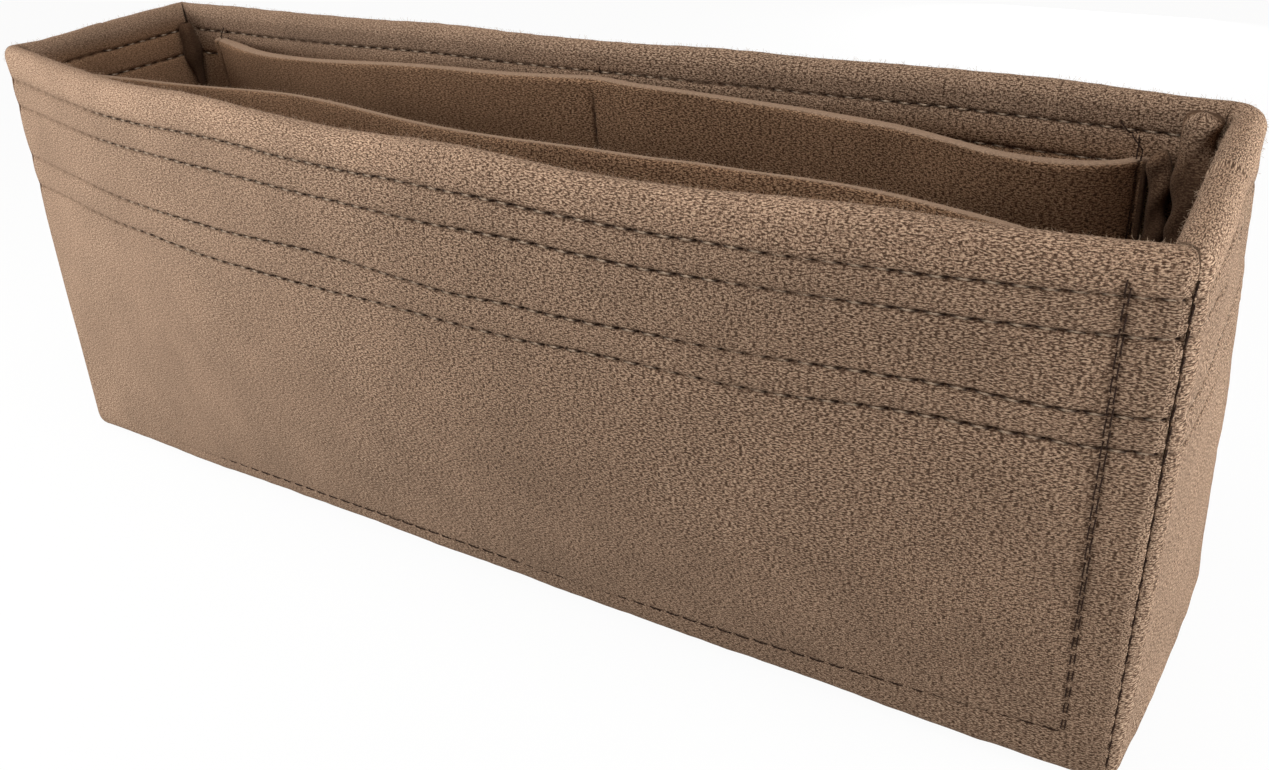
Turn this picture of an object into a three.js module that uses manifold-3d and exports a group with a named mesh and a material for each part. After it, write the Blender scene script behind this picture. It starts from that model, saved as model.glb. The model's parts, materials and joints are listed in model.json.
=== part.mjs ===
// A purse organiser insert: an open-topped box of thick felt with slip pockets inside, held by sewn seams.
// Lengths are in millimetres. +X runs along the length, +Y to the back and +Z up.
// The origin is under the middle of the object's box.
import * as THREE from 'three';
import Module from 'manifold-3d';

const wasm = await Module();
wasm.setup();

// Driving sizes of the box, whose base ends a little inside the rim
const rimLength = 282;
const baseTuck = 0.5;
const rimWidth = 66;
const baseWidth = 71;
const height = 106;
const edgeRadius = 5;

// How far the soft walls belly out between their corners
const frontBow = 14.5;
const backBow = 1;
const gussetBow = 2;
const bowFullness = 2.3;
const bowHeightShare = 0.6;

// Felt, its folded hem, and the rows of stitches that hold the hem, measured down from the rim
const feltThickness = 3;
const foldSlot = 0.3;
const hemDepth = 38;
const upperRowDrop = 6.7;
const upperRowSpacing = 6.4;
const lowerRowDrop = 27;
const lowerRowSpacing = 6.2;

// Gaps between pieces that touch, and the grooves that the corner and base seams lie in
const clearance = 0.3;
const cornerGroove = 0.6;
const baseGroove = 1.4;

// Seam allowances, turned in at the four corners
const allowanceWidth = 9;
const allowanceFloorHeight = 9;

// Slip pockets: how far their end seams are from the box's ends, the drop of their top edge below the rim,
// and their slack
const frontPocketEndInset = 9;
const frontPocketDrop = 6.5;
const frontPocketSlack = 22;
const frontPocketFullness = 5;
const rearPocketEndInset = 20.5;
const rearPocketDrop = 8;
const rearPocketSlack = 13;
const rearPocketSkew = 2.2;
const pocketMargin = 2.2;
const pocketFloorHeight = 10.5;
const pocketRise = 0.8;

// Sewing thread
const threadDiameter = 0.6;
const threadSides = 5;
const doubleSeamSpacing = 1.2;
const rowEndMargin = 3;
const pocketSeamDrop = 3.6;
const pocketSeamHeight = 12;
const crossingHalfLength = 2.6;
const crossingTopHalfLength = 1;
const cornerSeamTopDrop = 3;
const cornerSeamCurlShare = 0.5;
const baseSeamEndMargin = 2;

// Fineness of the modelled surfaces
const lengthSteps = 24;
const widthSteps = 8;
const pocketLengthSteps = 36;
const pocketLowerSteps = 5;
const pocketUpperSteps = 4;
const flapSteps = 3;
const foldSteps = 6;
const wallSteps = 9;
const edgeSteps = 4;
const rowSteps = 16;
const shortRowSteps = 6;
const cornerSeamSteps = 12;
const pocketSeamStepLength = 3;

// Derived sizes
const baseLength = rimLength - 2 * baseTuck;
const frontPocketSpan = rimLength - 2 * frontPocketEndInset;
const rearPocketSpan = rimLength - 2 * rearPocketEndInset;
const threadRadius = threadDiameter / 2;
const threadStandoff = clearance + threadRadius;
const mitreGap = clearance * Math.SQRT1_2;
const foldRadius = feltThickness + foldSlot / 2;
const foldHeight = height - foldRadius;
const flapInset = 2 * feltThickness + foldSlot;
const hemEnd = height - hemDepth;
const hemLeadEnd = hemEnd - feltThickness;
const hemLeadStart = hemLeadEnd - 2 * feltThickness;
const rowHeights = [
  height - upperRowDrop,
  height - upperRowDrop - upperRowSpacing,
  height - lowerRowDrop,
  height - lowerRowDrop - lowerRowSpacing,
];
const frontPocketTop = height - frontPocketDrop;
const rearPocketTop = height - rearPocketDrop;
const pocketSeamTop = height - pocketSeamDrop;

const front = -1;
const back = 1;
const sides = [['left', -1], ['right', 1]];

const feltMaterial = new THREE.MeshStandardMaterial({ color: 0x8c7262, roughness: 0.95, metalness: 0 });
const threadMaterial = new THREE.MeshStandardMaterial({ color: 0x6b5142, roughness: 0.7, metalness: 0 });

// Numbers from first to last in even steps, both ends among them
function spread(first, last, steps) {
  return Array.from({ length: steps + 1 }, (_, i) => THREE.MathUtils.lerp(first, last, i / steps));
}

function halfLengthAt(z) {
  return THREE.MathUtils.lerp(baseLength, rimLength, z / height) / 2;
}

function halfWidthAt(z) {
  return THREE.MathUtils.lerp(baseWidth, rimWidth, z / height) / 2;
}

// How far a long wall's outer face stands from the middle plane. It bellies out most near mid length.
function wallReach(side, x, z) {
  const bow = side === front ? frontBow : backBow;
  const along = Math.min(1, Math.abs(x) / halfLengthAt(z));
  const up = Math.min(1, z / (bowHeightShare * height));
  return halfWidthAt(z) + bow * (1 - along ** bowFullness) * Math.sin((up * Math.PI) / 2);
}

// How far a gusset's outer face stands from the middle of the length
function gussetReach(y, z) {
  const across = Math.min(1, Math.abs(y) / halfWidthAt(z));
  return halfLengthAt(z) + gussetBow * (1 - across ** 2) * Math.sin((z / height) * Math.PI);
}

// One felt wall in section, from the lower end of its hem, over the rim and down to the base.
// Each step is a pair of points, one on each face of the felt. Inset is measured in from the wall's outer
// face, and gap is what is left free for the seam where the wall ends at a corner.
function wallSection() {
  const section = [];
  const point = (inset, z, gap) => ({ inset, z, gap });
  for (const z of spread(hemEnd, foldHeight, flapSteps).slice(0, -1)) {
    section.push([point(flapInset, z, mitreGap), point(flapInset - feltThickness, z, mitreGap)]);
  }
  for (const turn of spread(Math.PI, 0, foldSteps)) {
    const slotRadius = foldSlot / 2;
    const outerGap = THREE.MathUtils.lerp(cornerGroove, mitreGap, turn / Math.PI);
    section.push([
      point(foldRadius - foldRadius * Math.cos(turn), foldHeight + foldRadius * Math.sin(turn), outerGap),
      point(foldRadius - slotRadius * Math.cos(turn), foldHeight + slotRadius * Math.sin(turn), mitreGap),
    ]);
  }
  for (const z of spread(foldHeight, edgeRadius, wallSteps).slice(1, -1)) {
    section.push([point(0, z, cornerGroove), point(feltThickness, z, mitreGap)]);
  }
  for (const turn of spread(0, Math.PI / 2, edgeSteps)) {
    const innerRadius = edgeRadius - feltThickness;
    const share = turn / (Math.PI / 2);
    section.push([
      point(
        edgeRadius - edgeRadius * Math.cos(turn),
        edgeRadius - edgeRadius * Math.sin(turn),
        THREE.MathUtils.lerp(cornerGroove, baseGroove, share),
      ),
      point(
        edgeRadius - innerRadius * Math.cos(turn),
        edgeRadius - innerRadius * Math.sin(turn),
        THREE.MathUtils.lerp(mitreGap, clearance, share),
      ),
    ]);
  }
  return section;
}

// A closed solid of felt from rows of point pairs, one point of each pair on each face
function feltSolid(rows) {
  const columns = rows[0].length;
  const positions = rows.flat(2).flatMap((point) => point.toArray());
  const vertex = (row, column, face) => (row * columns + column) * 2 + face;
  const index = [];
  const quad = (a, b, c, d) => index.push(a, b, c, a, c, d);
  const lastRow = rows.length - 1;
  const lastColumn = columns - 1;
  for (let i = 0; i < lastRow; i++) {
    for (let j = 0; j < lastColumn; j++) {
      quad(vertex(i, j, 0), vertex(i + 1, j, 0), vertex(i + 1, j + 1, 0), vertex(i, j + 1, 0));
      quad(vertex(i, j, 1), vertex(i, j + 1, 1), vertex(i + 1, j + 1, 1), vertex(i + 1, j, 1));
    }
    quad(vertex(i, 0, 0), vertex(i, 0, 1), vertex(i + 1, 0, 1), vertex(i + 1, 0, 0));
    quad(
      vertex(i, lastColumn, 0),
      vertex(i + 1, lastColumn, 0),
      vertex(i + 1, lastColumn, 1),
      vertex(i, lastColumn, 1),
    );
  }
  for (let j = 0; j < lastColumn; j++) {
    quad(vertex(0, j, 0), vertex(0, j + 1, 0), vertex(0, j + 1, 1), vertex(0, j, 1));
    quad(
      vertex(lastRow, j, 0),
      vertex(lastRow, j, 1),
      vertex(lastRow, j + 1, 1),
      vertex(lastRow, j + 1, 0),
    );
  }
  const geometry = new THREE.BufferGeometry();
  geometry.setAttribute('position', new THREE.Float32BufferAttribute(positions, 3));
  geometry.setIndex(signedVolume(positions, index) < 0 ? index.reverse() : index);
  geometry.computeVertexNormals();
  return geometry;
}

// Volume inside a closed mesh, below zero where its faces point in
function signedVolume(positions, index) {
  const corner = (i) => new THREE.Vector3().fromArray(positions, index[i] * 3);
  let volume = 0;
  for (let i = 0; i < index.length; i += 3) {
    volume += corner(i).dot(corner(i + 1).cross(corner(i + 2))) / 6;
  }
  return volume;
}

// The felt's two faces about a point of its middle surface, which surface(a, b) gives
function facesAbout(surface, a, b, nudge) {
  const middle = surface(a, b);
  const alongA = surface(a + nudge, b).sub(surface(a - nudge, b));
  const alongB = surface(a, b + nudge).sub(surface(a, b - nudge));
  const normal = alongA.cross(alongB).normalize().multiplyScalar(feltThickness / 2);
  return [middle.clone().sub(normal), middle.clone().add(normal)];
}

// One solid from two that overlap
function joined(geometryA, geometryB) {
  const [solidA, solidB] = [geometryA, geometryB].map(
    (geometry) =>
      new wasm.Manifold(
        new wasm.Mesh({
          numProp: 3,
          vertProperties: geometry.attributes.position.array,
          triVerts: new Uint32Array(geometry.index.array),
        }),
      ),
  );
  const mesh = solidA.add(solidB).getMesh();
  const geometry = new THREE.BufferGeometry();
  geometry.setAttribute('position', new THREE.BufferAttribute(mesh.vertProperties, mesh.numProp));
  geometry.setIndex(new THREE.BufferAttribute(mesh.triVerts, 1));
  geometry.computeVertexNormals();
  return geometry;
}

// Front wall, base and back wall in one length of felt, with both long hems folded in
function mainPanel() {
  const section = wallSection();
  const place = (side, share, { inset, z, gap }) => {
    const x = share * (halfLengthAt(z) - inset - gap);
    return new THREE.Vector3(x, side * (wallReach(side, x, z) - inset), z);
  };
  const rows = spread(-1, 1, lengthSteps).map((share) => {
    const frontHalf = section.map((pair) => pair.map((point) => place(front, share, point)));
    const backHalf = section.map((pair) => pair.map((point) => place(back, share, point)));
    return [...frontHalf, ...backHalf.reverse()];
  });
  return feltSolid(rows);
}

// End wall with its own folded hem, its lower edge curled under to meet the base
function gusset(side) {
  const section = wallSection();
  const rows = spread(-1, 1, widthSteps).map((share) =>
    section.map((pair) =>
      pair.map(({ inset, z, gap }) => {
        const y = share * (halfWidthAt(z) - inset - gap);
        return new THREE.Vector3(side * (gussetReach(y, z) - inset), y, z);
      }),
    ),
  );
  return feltSolid(rows);
}

// A gusset's seam allowance, turned in along a long wall. At the front it lies over the pocket's end.
function seamAllowance(sideX, sideY) {
  const lift = sideY === front ? feltThickness + clearance : 0;
  const heights = [
    ...spread(allowanceFloorHeight, hemLeadStart, flapSteps),
    ...spread(hemLeadEnd, foldHeight, flapSteps),
  ];
  const rows = [feltThickness / 2, feltThickness + allowanceWidth].map((insetX) =>
    heights.map((z) => {
      const inset = innerFaceInset(z) + clearance + lift;
      const x = sideX * (halfLengthAt(z) - insetX);
      return [inset, inset + feltThickness].map(
        (depth) => new THREE.Vector3(x, sideY * (halfWidthAt(z) - depth), z),
      );
    }),
  );
  return feltSolid(rows);
}

// Inset of a long wall's inner face, past the curled base edge and, higher up, past the hem
function innerFaceInset(z) {
  const hem = (feltThickness + foldSlot) * THREE.MathUtils.smoothstep(z, hemLeadStart, hemLeadEnd);
  if (z >= edgeRadius) return feltThickness + hem;
  const innerRadius = edgeRadius - feltThickness;
  const below = Math.min(edgeRadius - z, innerRadius);
  return edgeRadius - Math.sqrt(innerRadius ** 2 - below ** 2) + hem;
}

// A slip pocket's panel, flat against its wall at the seams and standing off it between them.
// Fill gives, along the length, the share of the slack that the panel takes up at its top edge.
function pocketPanel(side, span, top, slack, fill) {
  const surface = (x, z) => {
    const up = THREE.MathUtils.clamp((z - pocketSeamHeight) / (top - pocketSeamHeight), 0, 1);
    const standoff = slack * fill(Math.min(1, Math.abs(x) / (span / 2))) * up ** pocketRise;
    const inset = innerFaceInset(z) + clearance + feltThickness / 2 + standoff;
    return new THREE.Vector3(x, side * (wallReach(side, x, z) - inset), z);
  };
  const halfPanel = span / 2 + pocketMargin;
  const heights = [
    ...spread(pocketFloorHeight, hemLeadStart, pocketLowerSteps),
    ...spread(hemLeadEnd, top, pocketUpperSteps),
  ];
  const rows = spread(-halfPanel, halfPanel, pocketLengthSteps).map((x) =>
    heights.map((z) => facesAbout(surface, x, z, clearance)),
  );
  return feltSolid(rows);
}

// A thread of even thickness along a path of points
function threadAlong(points, steps) {
  const outline = spread(0, 2 * Math.PI, threadSides)
    .slice(0, -1)
    .map((turn) => new THREE.Vector2(threadRadius * Math.cos(turn), threadRadius * Math.sin(turn)));
  return new THREE.ExtrudeGeometry(new THREE.Shape(outline), {
    steps,
    extrudePath: new THREE.CatmullRomCurve3(points, false, 'centripetal'),
    bevelEnabled: false,
  });
}

// A row of hem stitches along a long wall
function wallRow(side, z, halfRun) {
  const points = spread(-halfRun, halfRun, rowSteps).map(
    (x) => new THREE.Vector3(x, side * (wallReach(side, x, z) + threadStandoff), z),
  );
  return threadAlong(points, rowSteps);
}

// A row of hem stitches across a gusset
function gussetRow(side, z) {
  const halfRun = halfWidthAt(z) - rowEndMargin;
  const points = spread(-halfRun, halfRun, shortRowSteps).map(
    (y) => new THREE.Vector3(side * (gussetReach(y, z) + threadStandoff), y, z),
  );
  return threadAlong(points, shortRowSteps);
}

// The stitches on a vertical corner, which follow the ridge down and start to curl under with it
function cornerSeam(sideX, sideY) {
  const outward = (threadRadius / 2) * Math.SQRT1_2;
  const ridge = (inset, z, drop) =>
    new THREE.Vector3(
      sideX * (halfLengthAt(z) - inset + outward),
      sideY * (halfWidthAt(z) - inset + outward),
      z - drop,
    );
  const straight = spread(height - cornerSeamTopDrop, edgeRadius, wallSteps).map((z) => ridge(0, z, 0));
  const curl = spread(0, (cornerSeamCurlShare * Math.PI) / 2, edgeSteps)
    .slice(1)
    .map((turn) =>
      ridge(edgeRadius * (1 - Math.cos(turn)), edgeRadius * (1 - Math.sin(turn)), outward * Math.sin(turn)),
    );
  return threadAlong([...straight, ...curl], cornerSeamSteps);
}

// The stitches that join a gusset to the base, up in the groove between the two
function baseSeam(sideX) {
  const x = sideX * (halfLengthAt(0) - edgeRadius - baseGroove / 2);
  const halfRun = halfWidthAt(0) - edgeRadius - baseSeamEndMargin;
  const z = threadRadius + clearance / 3;
  const points = spread(-halfRun, halfRun, shortRowSteps).map((y) => new THREE.Vector3(x, y, z));
  return threadAlong(points, shortRowSteps);
}

// How far an upright seam's thread stands off the wall: it steps over each row of hem stitches
function crossingStandoff(z) {
  const nearest = Math.min(...rowHeights.map((row) => Math.abs(z - row)));
  const over = 1 - THREE.MathUtils.smoothstep(nearest, crossingTopHalfLength, crossingHalfLength);
  return threadStandoff + (threadDiameter + clearance) * over;
}

// One upright line of stitches at x, from the height first to the height last
function uprightLine(side, x, first, last) {
  const steps = Math.round(Math.abs(last - first) / (pocketSeamStepLength / 2));
  return spread(first, last, steps).map(
    (z) => new THREE.Vector3(x, side * (wallReach(side, x, z) + crossingStandoff(z)), z),
  );
}

// A pocket's end seam, sewn down and back up again beside the first line
function pocketEndSeam(side, sideX, span) {
  const nearX = sideX * (span / 2 - doubleSeamSpacing / 2);
  const farX = sideX * (span / 2 + doubleSeamSpacing / 2);
  const turnHeight = pocketSeamHeight + doubleSeamSpacing / 2;
  const points = [
    ...uprightLine(side, nearX, pocketSeamTop, turnHeight),
    ...uprightLine(side, farX, turnHeight, pocketSeamTop),
  ];
  const run = 2 * (pocketSeamTop - turnHeight);
  return threadAlong(points, Math.round(run / pocketSeamStepLength));
}

// The seam that parts the rear pocket into two
function pocketDividerSeam(side) {
  const points = uprightLine(side, 0, pocketSeamTop, pocketSeamHeight + doubleSeamSpacing);
  const run = pocketSeamTop - pocketSeamHeight - doubleSeamSpacing;
  return threadAlong(points, Math.round(run / pocketSeamStepLength));
}

// The seam along a pocket's floor, which ends just inside the end seams
function pocketFloorSeam(side, span) {
  return wallRow(side, pocketSeamHeight, span / 2 - 2 * doubleSeamSpacing);
}

const assembly = new THREE.Group();

function add(name, geometry, material) {
  const mesh = new THREE.Mesh(geometry, material);
  mesh.name = name;
  assembly.add(mesh);
}

function frontPocketFill(along) {
  return 1 - along ** frontPocketFullness;
}

function rearPocketFill(along) {
  return Math.sin(Math.PI * along ** rearPocketSkew);
}

add('main_panel', mainPanel(), feltMaterial);
for (const [sideName, sideX] of sides) {
  const withFront = joined(gusset(sideX), seamAllowance(sideX, front));
  add(`${sideName}_gusset`, joined(withFront, seamAllowance(sideX, back)), feltMaterial);
}
add(
  'front_pocket_panel',
  pocketPanel(front, frontPocketSpan, frontPocketTop, frontPocketSlack, frontPocketFill),
  feltMaterial,
);
add(
  'rear_pocket_panel',
  pocketPanel(back, rearPocketSpan, rearPocketTop, rearPocketSlack, rearPocketFill),
  feltMaterial,
);

rowHeights.forEach((z, i) => {
  const halfRun = halfLengthAt(z) - rowEndMargin;
  add(`front_hem_thread_${i + 1}`, wallRow(front, z, halfRun), threadMaterial);
  add(`back_hem_thread_${i + 1}`, wallRow(back, z, halfRun), threadMaterial);
  for (const [sideName, sideX] of sides) {
    add(`${sideName}_hem_thread_${i + 1}`, gussetRow(sideX, z), threadMaterial);
  }
});

for (const [sideName, sideX] of sides) {
  add(`front_${sideName}_corner_thread`, cornerSeam(sideX, front), threadMaterial);
  add(`back_${sideName}_corner_thread`, cornerSeam(sideX, back), threadMaterial);
  add(`${sideName}_base_thread`, baseSeam(sideX), threadMaterial);
  add(`front_pocket_${sideName}_thread`, pocketEndSeam(front, sideX, frontPocketSpan), threadMaterial);
  add(`rear_pocket_${sideName}_thread`, pocketEndSeam(back, sideX, rearPocketSpan), threadMaterial);
}
add('front_pocket_floor_thread', pocketFloorSeam(front, frontPocketSpan), threadMaterial);
add('rear_pocket_floor_thread', pocketFloorSeam(back, rearPocketSpan), threadMaterial);
add('rear_pocket_divider_thread', pocketDividerSeam(back), threadMaterial);

// Stand the whole object over the origin
const bounds = new THREE.Box3().setFromObject(assembly);
const middle = bounds.getCenter(new THREE.Vector3());
assembly.position.set(-middle.x, -middle.y, -bounds.min.z);

const group = new THREE.Group();
group.add(assembly);

export default group;
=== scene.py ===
"""Looks of a purse organizer insert: a felt box with folded, stitched hems and slip pockets inside."""

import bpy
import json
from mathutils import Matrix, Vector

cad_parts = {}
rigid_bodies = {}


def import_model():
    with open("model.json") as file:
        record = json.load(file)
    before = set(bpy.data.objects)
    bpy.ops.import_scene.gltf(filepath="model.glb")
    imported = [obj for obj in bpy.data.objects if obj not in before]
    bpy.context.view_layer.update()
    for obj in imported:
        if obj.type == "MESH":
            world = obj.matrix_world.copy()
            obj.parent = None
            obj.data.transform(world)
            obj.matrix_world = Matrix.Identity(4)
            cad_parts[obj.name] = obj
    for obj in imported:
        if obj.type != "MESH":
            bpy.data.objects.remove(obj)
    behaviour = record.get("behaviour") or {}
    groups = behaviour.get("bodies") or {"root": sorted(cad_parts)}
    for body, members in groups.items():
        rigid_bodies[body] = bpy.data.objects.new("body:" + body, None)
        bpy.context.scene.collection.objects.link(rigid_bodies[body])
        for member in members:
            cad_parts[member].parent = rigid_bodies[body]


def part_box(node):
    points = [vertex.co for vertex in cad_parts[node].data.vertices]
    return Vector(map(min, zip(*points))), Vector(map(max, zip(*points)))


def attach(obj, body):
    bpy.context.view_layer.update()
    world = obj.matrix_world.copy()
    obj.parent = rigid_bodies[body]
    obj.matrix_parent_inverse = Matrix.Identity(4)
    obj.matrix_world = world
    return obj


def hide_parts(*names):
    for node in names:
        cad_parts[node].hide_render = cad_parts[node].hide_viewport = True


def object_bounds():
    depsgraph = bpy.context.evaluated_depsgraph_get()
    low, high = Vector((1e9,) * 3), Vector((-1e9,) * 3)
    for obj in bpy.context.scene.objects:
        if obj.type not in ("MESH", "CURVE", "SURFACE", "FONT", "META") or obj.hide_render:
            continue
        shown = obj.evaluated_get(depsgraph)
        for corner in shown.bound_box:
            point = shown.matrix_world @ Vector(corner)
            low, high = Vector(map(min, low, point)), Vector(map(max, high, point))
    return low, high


bl_info = {
    "name": "Purse Organizer Insert",
    "version": (1, 0, 0),
    "blender": (4, 5, 0),
    "location": "View3D > Sidebar > Insert",
    "description": "Builds a felt purse organizer insert with stitched hems and slip pockets",
    "category": "Add Mesh",
}

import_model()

import json
import math

import bpy
import numpy as np
from bpy.props import FloatProperty, FloatVectorProperty, IntProperty, PointerProperty
from mathutils import Matrix, Vector
from mathutils.kdtree import KDTree

MM = 0.001
FRONT, BACK = -1, 1
LEFT, RIGHT = -1, 1
SIDE_NAMES = {LEFT: "left", RIGHT: "right"}
RUN_MAP = "felt_run"

CAD_LOW, CAD_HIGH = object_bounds()
GUSSET_LOW, GUSSET_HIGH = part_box("left_gusset")
PLAN_MIDDLE = (GUSSET_LOW.y + GUSSET_HIGH.y) / 2

# How far each pocket's top edge stands off its wall, as shares of its slack, against shares of its half span
FRONT_FILL_SHARES = (
    (-1, 0), (-0.84, 0.43), (-0.75, 0.64), (-0.66, 0.81), (-0.56, 0.94), (-0.46, 1), (-0.36, 1),
    (-0.21, 0.98), (-0.05, 0.95), (0.1, 0.91), (0.22, 0.9), (0.31, 0.91), (0.4, 0.96), (0.48, 0.95),
    (0.55, 0.93), (0.62, 0.86), (0.69, 0.74), (0.76, 0.59), (0.83, 0.44), (0.92, 0.2), (1, 0),
)
REAR_FILL_SHARES = (
    (-1, 0), (-0.955, 0.22), (-0.83, 0.78), (-0.68, 0.91), (-0.55, 0.85), (-0.43, 0.68), (-0.32, 0.51),
    (-0.216, 0.34), (-0.11, 0.13), (0, 0), (0.1, 0.23), (0.23, 0.3), (0.33, 0.33), (0.44, 0.41),
    (0.54, 0.57), (0.63, 0.68), (0.72, 0.87), (0.8, 0.99), (0.88, 0.85), (0.946, 0.55), (0.985, 0.2),
    (1, 0),
)
# How far the rear pocket's top edge lies above its regular height, as shares of its sag
REAR_EDGE_SHARES = ((-1, -0.1), (-0.5, 0.2), (0, 0.45), (0.4, 0.2), (0.7, -0.3), (0.87, -0.7), (1, -1))

# How far the front wall's rows of hem stitches lie above their regular heights, as shares of the rows' sag
FRONT_ROW_SHARES = (
    (
        (-1, -1.1), (-0.7, -1.3), (-0.4, -0.7), (-0.1, -0.3), (0.1, -0.6), (0.3, -0.7), (0.45, -0.9),
        (0.55, -1.3), (0.8, -1), (0.9, -0.5), (1, -0.5),
    ),
    (
        (-1, -1.2), (-0.7, -1.2), (-0.4, -0.7), (-0.15, -0.5), (0.1, -0.8), (0.2, -0.4), (0.3, -0.4),
        (0.4, -0.8), (0.6, -0.8), (0.8, -0.7), (1, -0.3),
    ),
    (
        (-1, 0), (-0.35, -0.1), (-0.2, 0.9), (0, 0.5), (0.1, -0.2), (0.2, 0.3), (0.3, 0.4), (0.4, 0.8),
        (0.5, 0.6), (0.6, 1.1), (0.7, 1.2), (0.8, 0.7), (0.85, 0), (1, -0.2),
    ),
    (
        (-1, -1.5), (-0.6, -1.5), (-0.35, -1.8), (-0.2, -1.1), (0, -0.4), (0.1, -0.6), (0.2, -0.4),
        (0.3, 0.3), (0.6, 0.4), (0.7, 1.1), (0.8, 0.8), (0.9, 0), (1, -0.1),
    ),
)

# Each seam allowance turned in at a corner: its name, its end, its wall, its distance from the corner, width,
# thickness and drop below the rim in millimetres, how shaded it is, and how shaded its top is
ALLOWANCES = (
    ("front_left_allowance", LEFT, FRONT, 0.3, 5.5, 6, 14, 0.2, 0.2),
    ("front_right_allowance", RIGHT, FRONT, 0.3, 5.5, 6, 14, 0.2, 0.2),
    ("back_left_allowance", LEFT, BACK, 0.3, 2.3, 3.2, 4.5, 1, 0.9),
    ("back_right_allowance", RIGHT, BACK, 0.3, 7.4, 5.5, 0.2, 0.9, 0),
    ("back_right_under_allowance", RIGHT, BACK, 7.7, 4.2, 4.2, 8.6, 1, 0.7),
)

# How finely the felt is divided: down a wall, down its hem, across a pocket, at a seam and where one slants
WALL_STEP, FLAP_STEP, PANEL_STEP, SEAM_STEP, SLANT_STEP = 2.1 * MM, 3.2 * MM, 1.4 * MM, 0.3 * MM, 0.5 * MM
# How far on either side of a seam the division is finer, and the distances there, as shares of that reach
SEAM_REACH = 2.4 * MM
SEAM_SHARES = (-1, -0.62, -0.4, -0.24, -0.1, 0, 0.1, 0.24, 0.4, 0.62, 1)
# Distances from a wall's end, a pocket's cut edge and an allowance's top at which the last divisions lie
END_STEPS = np.array([0, 0.12, 0.35, 0.7, 1.1, 1.6, 2.2, 2.9, 3.7, 4.6, 5.6, 6.8]) * MM
CUT_STEPS = np.array([0, 0.12, 0.35, 0.8, 1.6]) * MM
CROWN_STEPS = np.array([3.4, 2.6, 1.9, 1.3, 0.8, 0.45, 0.2, 0.05, 0]) * MM

# The felt's lumps: height as a share of its lump height, shortest and longest wave, number of waves and seed
WALL_LUMPS = (1, 18 * MM, 60 * MM, 9, 3)
GUSSET_LUMPS = (1.4, 14 * MM, 45 * MM, 9, 7)
SMALL_LUMPS = (0.25, 3 * MM, 9 * MM, 16, 5)

# Distances left of the middle between which the brushed fibres of the front wall come to hide its stitches
VEIL_PLACES = (88 * MM, 118 * MM)
# Depths behind a wall's outer face over which its painted top light ends, and over which its painted inner
# shade starts
TOP_LIGHT_DEPTHS = (3 * MM, 5.5 * MM)
INNER_SHADE_DEPTHS = (4.5 * MM, 6 * MM)
# Height above the first row of stitches at which the band of painted top light is full, and below it at which
# it starts
TOP_LIGHT_RISE, TOP_LIGHT_START = 2.5 * MM, 0.5 * MM
# How far below and above the middle of the rim's fold the loose fibres start and are full
FUZZ_START, FUZZ_RISE = 2 * MM, 1 * MM
# How far below the rim the inside's painted shade is full, in the long walls and in the end walls
WALL_FALL, GUSSET_FALL = 15 * MM, 6 * MM

# How far from its edge a pocket's seams draw fully and its cut top edge is painted paler as painted light,
# and how dense its fibres are
DRAWN_REACH, CUT_REACH, CUT_FUZZ = 2 * MM, 0.3 * MM, 1.6
# An allowance's rounding at both ends, how thick its ends are as a share, and how square it is in plan
ALLOWANCE_ROUND, ALLOWANCE_TIP, ALLOWANCE_POWER = 2.6 * MM, 0.04, 0.7
# How far below an allowance's top its own shade starts and is full, and how far to its sides, as shares
ALLOWANCE_FALL, ALLOWANCE_SIDES = (2 * MM, 13 * MM), (0.75, 1)


def length(label, description, default):
    """A length property, in metres"""
    return FloatProperty(name=label, description=description, default=default, unit="LENGTH", precision=5)


def number(label, description, default):
    """A property that is a plain number or a share"""
    return FloatProperty(name=label, description=description, default=default)


def power(label, description, default):
    """A lamp's power"""
    return FloatProperty(name=label, description=description, default=default, subtype="POWER")


def direction(label, description, default):
    """A direction in space"""
    return FloatVectorProperty(name=label, description=description, default=default, subtype="XYZ", size=3)


def colour(label, description, default):
    """A linear colour property"""
    return FloatVectorProperty(
        name=label, description=description, default=default, subtype="COLOR", size=3, min=0, max=1
    )


class InsertBox(bpy.types.PropertyGroup):
    """Sizes of the felt box"""

    rim_length: length("Rim length", "Outer length at the rim", 0.282)
    base_length: length("Base length", "Outer length at the base", 0.281)
    rim_width: length("Rim width", "Outer width at the rim's ends", 0.066)
    base_width: length("Base width", "Outer width at the base", 0.071)
    height: length("Height", "From the base to the top of the rim", CAD_HIGH.z - CAD_LOW.z)
    edge_radius: length("Edge radius", "Bend between a wall and the base", 0.005)
    front_bow: length("Front bow", "How far the front wall bellies out", 0.0145)
    back_bow: length("Back bow", "How far the back wall bellies out", 0.001)
    gusset_bow: length("Gusset bow", "How far the end walls belly out", 0.002)
    bow_fullness: number("Bow fullness", "How square the bow is", 2.3)
    bow_rise: number("Bow rise", "Share of the height where the bow is full", 0.6)
    splay: length("Splay", "How far the rim stands wider at the right end and narrower at the left", 0.0048)
    end_shift: length("End shift", "How far the front right corner stands out", 0.0015)
    left_lean: length("Left lean", "How far the left end leans out", 0.0045)
    right_lean: length("Right lean", "How far the right end leans in at its back edge", 0.0054)
    corner_lift: length("Corner lift", "How far the base curls up at the front right corner", 0.002)
    back_lift: length("Back lift", "How far the base curls up at the back right corner", 0.003)
    foot_tuck: length("Foot tuck", "How far the back right corner's foot is drawn in", 0.0009)
    hem_swell: length("Hem swell", "How far the front wall swells out below its rim", 0.0009)
    ripple: length("Ripple", "Height of the slight waves along the rim", 0.00035)
    rim_tilt: length("Rim tilt", "How far the rim's right end lies below its regular height", 0.0005)
    lump_height: length("Lump height", "Height of the soft lumps of the felt", 0.00014)
    lump_margin: length("Lump margin", "How far from a corner the lumps are full", 0.009)


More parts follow.
